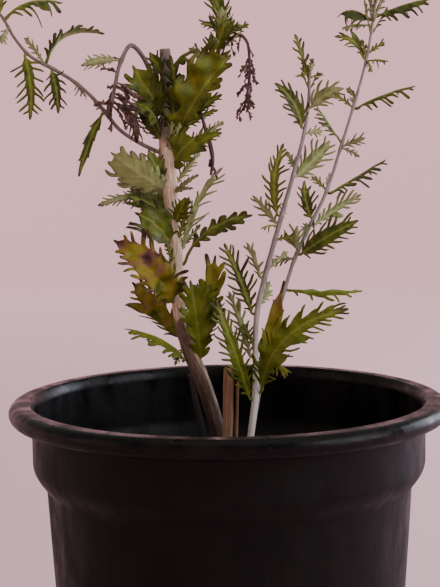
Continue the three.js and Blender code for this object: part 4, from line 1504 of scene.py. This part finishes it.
def makeStake(settings):
    rng = random.Random(7)
    half = settings["width"] / 2
    top = settings["above"]
    split = half * settings["splitPlace"]
    long, wide = settings["splitLength"], settings["splitWidth"]
    ragged = [(-half, top - 1.5), (-2.8, top - 0.4), (-1.9, top - 1.6), (-0.6, top - 0.2)]
    ragged += [(split - 0.3, top - 0.8)]
    shape = [(half, -settings["below"]), (half, top - 3.4), (half - 0.9, top - 2.2)]
    shape += [(split + 1.4, top - 1.2)]
    for s in np.linspace(0, 1, 14):  # up-and-down walls of the split, slightly wavy
        x = split + wide * (1 - 0.5 * s) + 0.12 * math.sin(s * 19)
        shape.append((x, top - 1.5 - long * s))
    for s in np.linspace(1, 0, 14):
        shape.append((split + 0.14 * math.sin(s * 15 + 1), top - 1.5 - long * s))
    shape += ragged[::-1] + [(-half, -settings["below"])]
    outline = evenOutline(shape, 0.7)
    points, triangles = fillOutline(outline, [], 0.9, rng)
    across, up = points[:, 0], points[:, 1]
    toEdge = nearestTo(points, evenOutline(outline, 0.3))[0]
    sample = np.stack([across, np.zeros(len(points)), up / 12], 1)
    grainy = 0.16 * roughAt(sample, 0.7, 3) + 0.1 * roughAt(sample, 1.6, 4)
    rounding = settings["rounding"] * (1 - softStep(toEdge, 0, 1.0))
    tineBow = 0.5 * softStep(up, top - long, top) * (across > split)
    front = -settings["depth"] / 2 + rounding + grainy + tineBow
    back = settings["depth"] / 2 - rounding + grainy + tineBow
    lean = settings["lean"] * up / top
    footX, footY = settings["foot"]
    x, z = footX + across + lean, mixTop + up
    both = np.vstack([np.stack([x, footY + side, z], 1) for side in (front, back)])
    faces = twoSided(triangles, len(points))[0]
    grain = np.stack([across, front, up], 1)
    wear = softStep(np.abs(across - split - 0.5), 1.3, 0.4) * softStep(up, top - long - 4, top)
    wear = np.maximum(wear, softStep(up, top - 2.5, top))
    values = {
        "grain": np.vstack([grain, grain + [0, settings["depth"], 0]]), "wear": np.concatenate([wear, wear]),
        # the foot of the stake is darkened with soil and with painted shade inside the pot
        "stain": stainAndShadeOf(both, 0.3, 0),
    }
    makePiece("woodenStake", both, faces, [stakeWood], ["stake"], values)


makeStake(stakeSettings)
print("stake cleft")


mixSettings = {
    "sides": 300, "ringStep": 1.3, "edgeDip": 3, "lump": (16, 1.3), "clod": (5, 0.9), "crumb": (1.8, 0.45),
    "crumbs": 620, "crumbSize": (0.7, 2.6), "chips": 90, "chipSize": (2.5, 7), "fibres": 70,
    "moulded": 22,  # mm down the side to where the mix has taken the pot's shape
    "underStep": 8.5,  # how much narrower it is below the step in the wall
}


def mixHeight(points, radius, settings):
    # lumps, clods and crumbs, each a size and a height in mm, on a shallow dome
    spots = np.stack([points[:, 0], points[:, 1], np.zeros(len(points))], 1)
    away = np.linalg.norm(points[:, :2], axis=1)
    height = mixTop - settings["edgeDip"] * (away / radius) ** 2
    for count, title in enumerate(("lump", "clod", "crumb")):
        size, rise = settings[title]
        height = height + rise * roughAt(spots, size, 20 + count)
    return height


def makeMix(settings):
    low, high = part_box("potting_mix")
    radius = high.x / mm
    sides = settings["sides"]
    steps = np.arange(radius, 3, -settings["ringStep"])
    bottom = low.z / mm
    under = radius - settings["underStep"]
    rings = [(under - 6, bottom), (under - 2, bottom + 1), (under, bottom + 4)]
    rings += [(radius - 1.4, high.z / mm - settings["moulded"])]
    points = ringPoints(rings, sides)
    top = np.array(ringPoints([(r, 0.0) for r in steps], sides))
    top[:, 2] = mixHeight(top, radius, settings)
    points = np.vstack([points, top, [(0, 0, mixTop), (0, 0, bottom)]])
    makePiece(
        "pottingMix", points, closedFaces(len(rings) + len(steps), sides), [compost],
        ["potting_mix"], {"tint": 0.25 * roughAt(points, 11, 2)},
    )
    return radius


def scatterCrumbs(settings, radius):
    rng = random.Random(11)
    ball = bmesh.new()
    bmesh.ops.create_icosphere(ball, subdivisions=2, radius=1)
    shell = np.array([v.co[:] for v in ball.verts])
    shellFaces = [tuple(v.index for v in face.verts) for face in ball.faces]
    ball.free()
    points, faces, tint = [], [], []
    for count in range(settings["crumbs"] + settings["chips"]):
        chip = count >= settings["crumbs"]
        size = rng.uniform(*settings["chipSize" if chip else "crumbSize"]) / 2
        away = (radius - 4) * math.sqrt(rng.random())
        angle = rng.uniform(0, 2 * math.pi)
        spot = np.array([[away * math.cos(angle), away * math.sin(angle), 0]])
        height = float(mixHeight(spot, radius, settings)[0])
        flatness = ((0.35, 0.6), (0.14, 0.3)) if chip else ((0.6, 1), (0.5, 0.9))
        squash = np.array([1] + [rng.uniform(*each) for each in flatness])
        lumpy = 1 + 0.45 * roughAt(shell, 0.8, count)
        body = shell * lumpy[:, None] * squash * size
        turn = Matrix.Rotation(rng.uniform(0, 6.28), 3, "Z")
        turn = np.array(turn @ Matrix.Rotation(rng.uniform(-0.5, 0.5), 3, (1, 0.3, 0)))
        first = sum(len(each) for each in points)
        points.append(body @ turn.T + [spot[0][0], spot[0][1], height + size * squash[2] * 0.4])
        faces += [tuple(first + i for i in face) for face in shellFaces]
        tint += [rng.uniform(-0.2, 0.35 if chip else 0.2)] * len(shell)
    makePiece(
        "compostCrumbs", np.vstack(points), faces, [compost], (), {"tint": tint},
    )


def layFibres(settings, radius):
    rng = random.Random(13)
    allPoints, allFaces, allGrain = [], [], []
    for _ in range(settings["fibres"]):
        away = (radius - 10) * math.sqrt(rng.random())
        angle = rng.uniform(0, 2 * math.pi)
        heading = rng.uniform(0, 2 * math.pi)
        spot = np.array([away * math.cos(angle), away * math.sin(angle), 0.0])
        line = []
        for _ in range(5):
            line.append(spot.copy())
            heading += rng.uniform(-0.7, 0.7)
            spot = spot + np.array([math.cos(heading), math.sin(heading), 0]) * rng.uniform(1.5, 3.5)
        line = np.array(line)
        line[:, 2] = mixHeight(line, radius, settings) + [rng.uniform(0.2, 1.2) for _ in line]
        line = smoothLine(line, 0.9)
        thick = rng.uniform(0.12, 0.3)
        radii = thick * np.sin(np.linspace(0.35, math.pi - 0.35, len(line)))
        points, grain, faces = sweep(line, radii, 6, lambda turns, runs, outward: np.zeros_like(turns))
        points, grain, faces = closeEnds(points, grain, faces, 6, line, 0.1)
        first = sum(len(each) for each in allPoints)
        allPoints.append(points)
        allGrain.append(grain)
        allFaces += [tuple(first + i for i in face) for face in faces]
    grain = np.vstack(allGrain)
    makePiece(
        "compostFibres", np.vstack(allPoints), allFaces, [dryShoot], (),
        {"grain": grain, "wear": np.zeros(len(grain))},
    )


mixRadius = makeMix(mixSettings)
scatterCrumbs(mixSettings, mixRadius)
layFibres(mixSettings, mixRadius)
print("potting mix laid")


studioSettings = {
    "paper": "#e6c0c5", "floorRadius": 3.2, "coveRadius": 1.6,
    "lights": {  # place and aim in metres, size in metres, power in watts
        "windowRight": {
            "place": (1.5, -0.7, 0.95), "aim": (0, 0, 0.25), "size": (1.0, 1.3), "power": 30,
            "colour": "#eef2ff",
        },
        "windowBehind": {
            "place": (1.5, 0.95, 0.6), "aim": (0, 0, 0.22), "size": (0.8, 1.0), "power": 26,
            "colour": "#e6ecff",
        },
        "softTop": {
            "place": (0.2, -0.3, 1.9), "aim": (0, 0, 0.2), "size": (1.8, 1.8), "power": 8,
            "colour": "#fff6ee",
        },
        "warmLeft": {
            "place": (-1.5, -0.5, 0.8), "aim": (0, 0, 0.2), "size": (0.8, 1.2), "power": 3,
            "colour": "#ffe9d6",
        },
    },
    "washes": 4,  # round the cove, so that the paper is the same behind the pot from every side
    "wash": {"from": (1.9, 2.5), "to": (4.6, 0.7), "size": (3.4, 0.8), "power": 84, "colour": "#fff0f2"},
    "sky": "#f0ebea", "skyStrength": 0.48,
}


def addLight(name, settings):
    lamp = bpy.data.lights.new(name, "AREA")
    lamp.shape = "RECTANGLE"
    lamp.size, lamp.size_y = settings["size"]
    lamp.energy = settings["power"]
    lamp.color = hexColour(settings["colour"])[:3]
    place = Vector(settings["place"])
    turn = (Vector(settings["aim"]) - place).to_track_quat("-Z", "Y")
    holder = bpy.data.objects.new(name, lamp)
    holder.matrix_world = Matrix.Translation(place) @ turn.to_matrix().to_4x4()
    bpy.context.scene.collection.objects.link(holder)


def makeStudio(settings):
    sides = 96
    flat, cove = settings["floorRadius"], settings["coveRadius"]
    rings = [(0.5, 0), (1.5, 0), (flat, 0)]
    bends = np.linspace(0.1, math.pi / 2, 14)
    rings += [(flat + cove * math.sin(t), cove * (1 - math.cos(t))) for t in bends]
    points = ringPoints(rings, sides) + [(0, 0, 0)]
    faces = [face[::-1] for face in ringFaces(len(rings), sides)]
    faces += [(j, (j + 1) % sides, len(points) - 1) for j in range(sides)]
    mesh = bpy.data.meshes.new("floor")
    mesh.from_pydata(points, [], faces)
    mesh.shade_smooth()
    floor = bpy.data.objects.new("floor", mesh)
    bpy.context.scene.collection.objects.link(floor)
    # matt studio paper
    material, _, surface = newMaterial("studioPaper", {"Roughness": 0.9, "Specular IOR Level": 0.2})
    surface.inputs["Base Color"].default_value = hexColour(settings["paper"])
    mesh.materials.append(material)
    for name, light in settings["lights"].items():
        addLight(name, light)
    wash = settings["wash"]
    for count in range(settings["washes"]):
        angle = math.pi / 2 + 2 * math.pi * count / settings["washes"]
        ends = [(math.cos(angle) * r, math.sin(angle) * r, z) for r, z in (wash["from"], wash["to"])]
        addLight(f"wash{count + 1}", {**wash, "place": ends[0], "aim": ends[1]})
    world = bpy.data.worlds.new("studioAir")
    bpy.context.scene.world = world
    world.use_nodes = True
    air = world.node_tree.nodes["Background"]
    air.inputs["Color"].default_value = hexColour(settings["sky"])
    air.inputs["Strength"].default_value = settings["skyStrength"]


makeStudio(studioSettings)
print("studio lit")
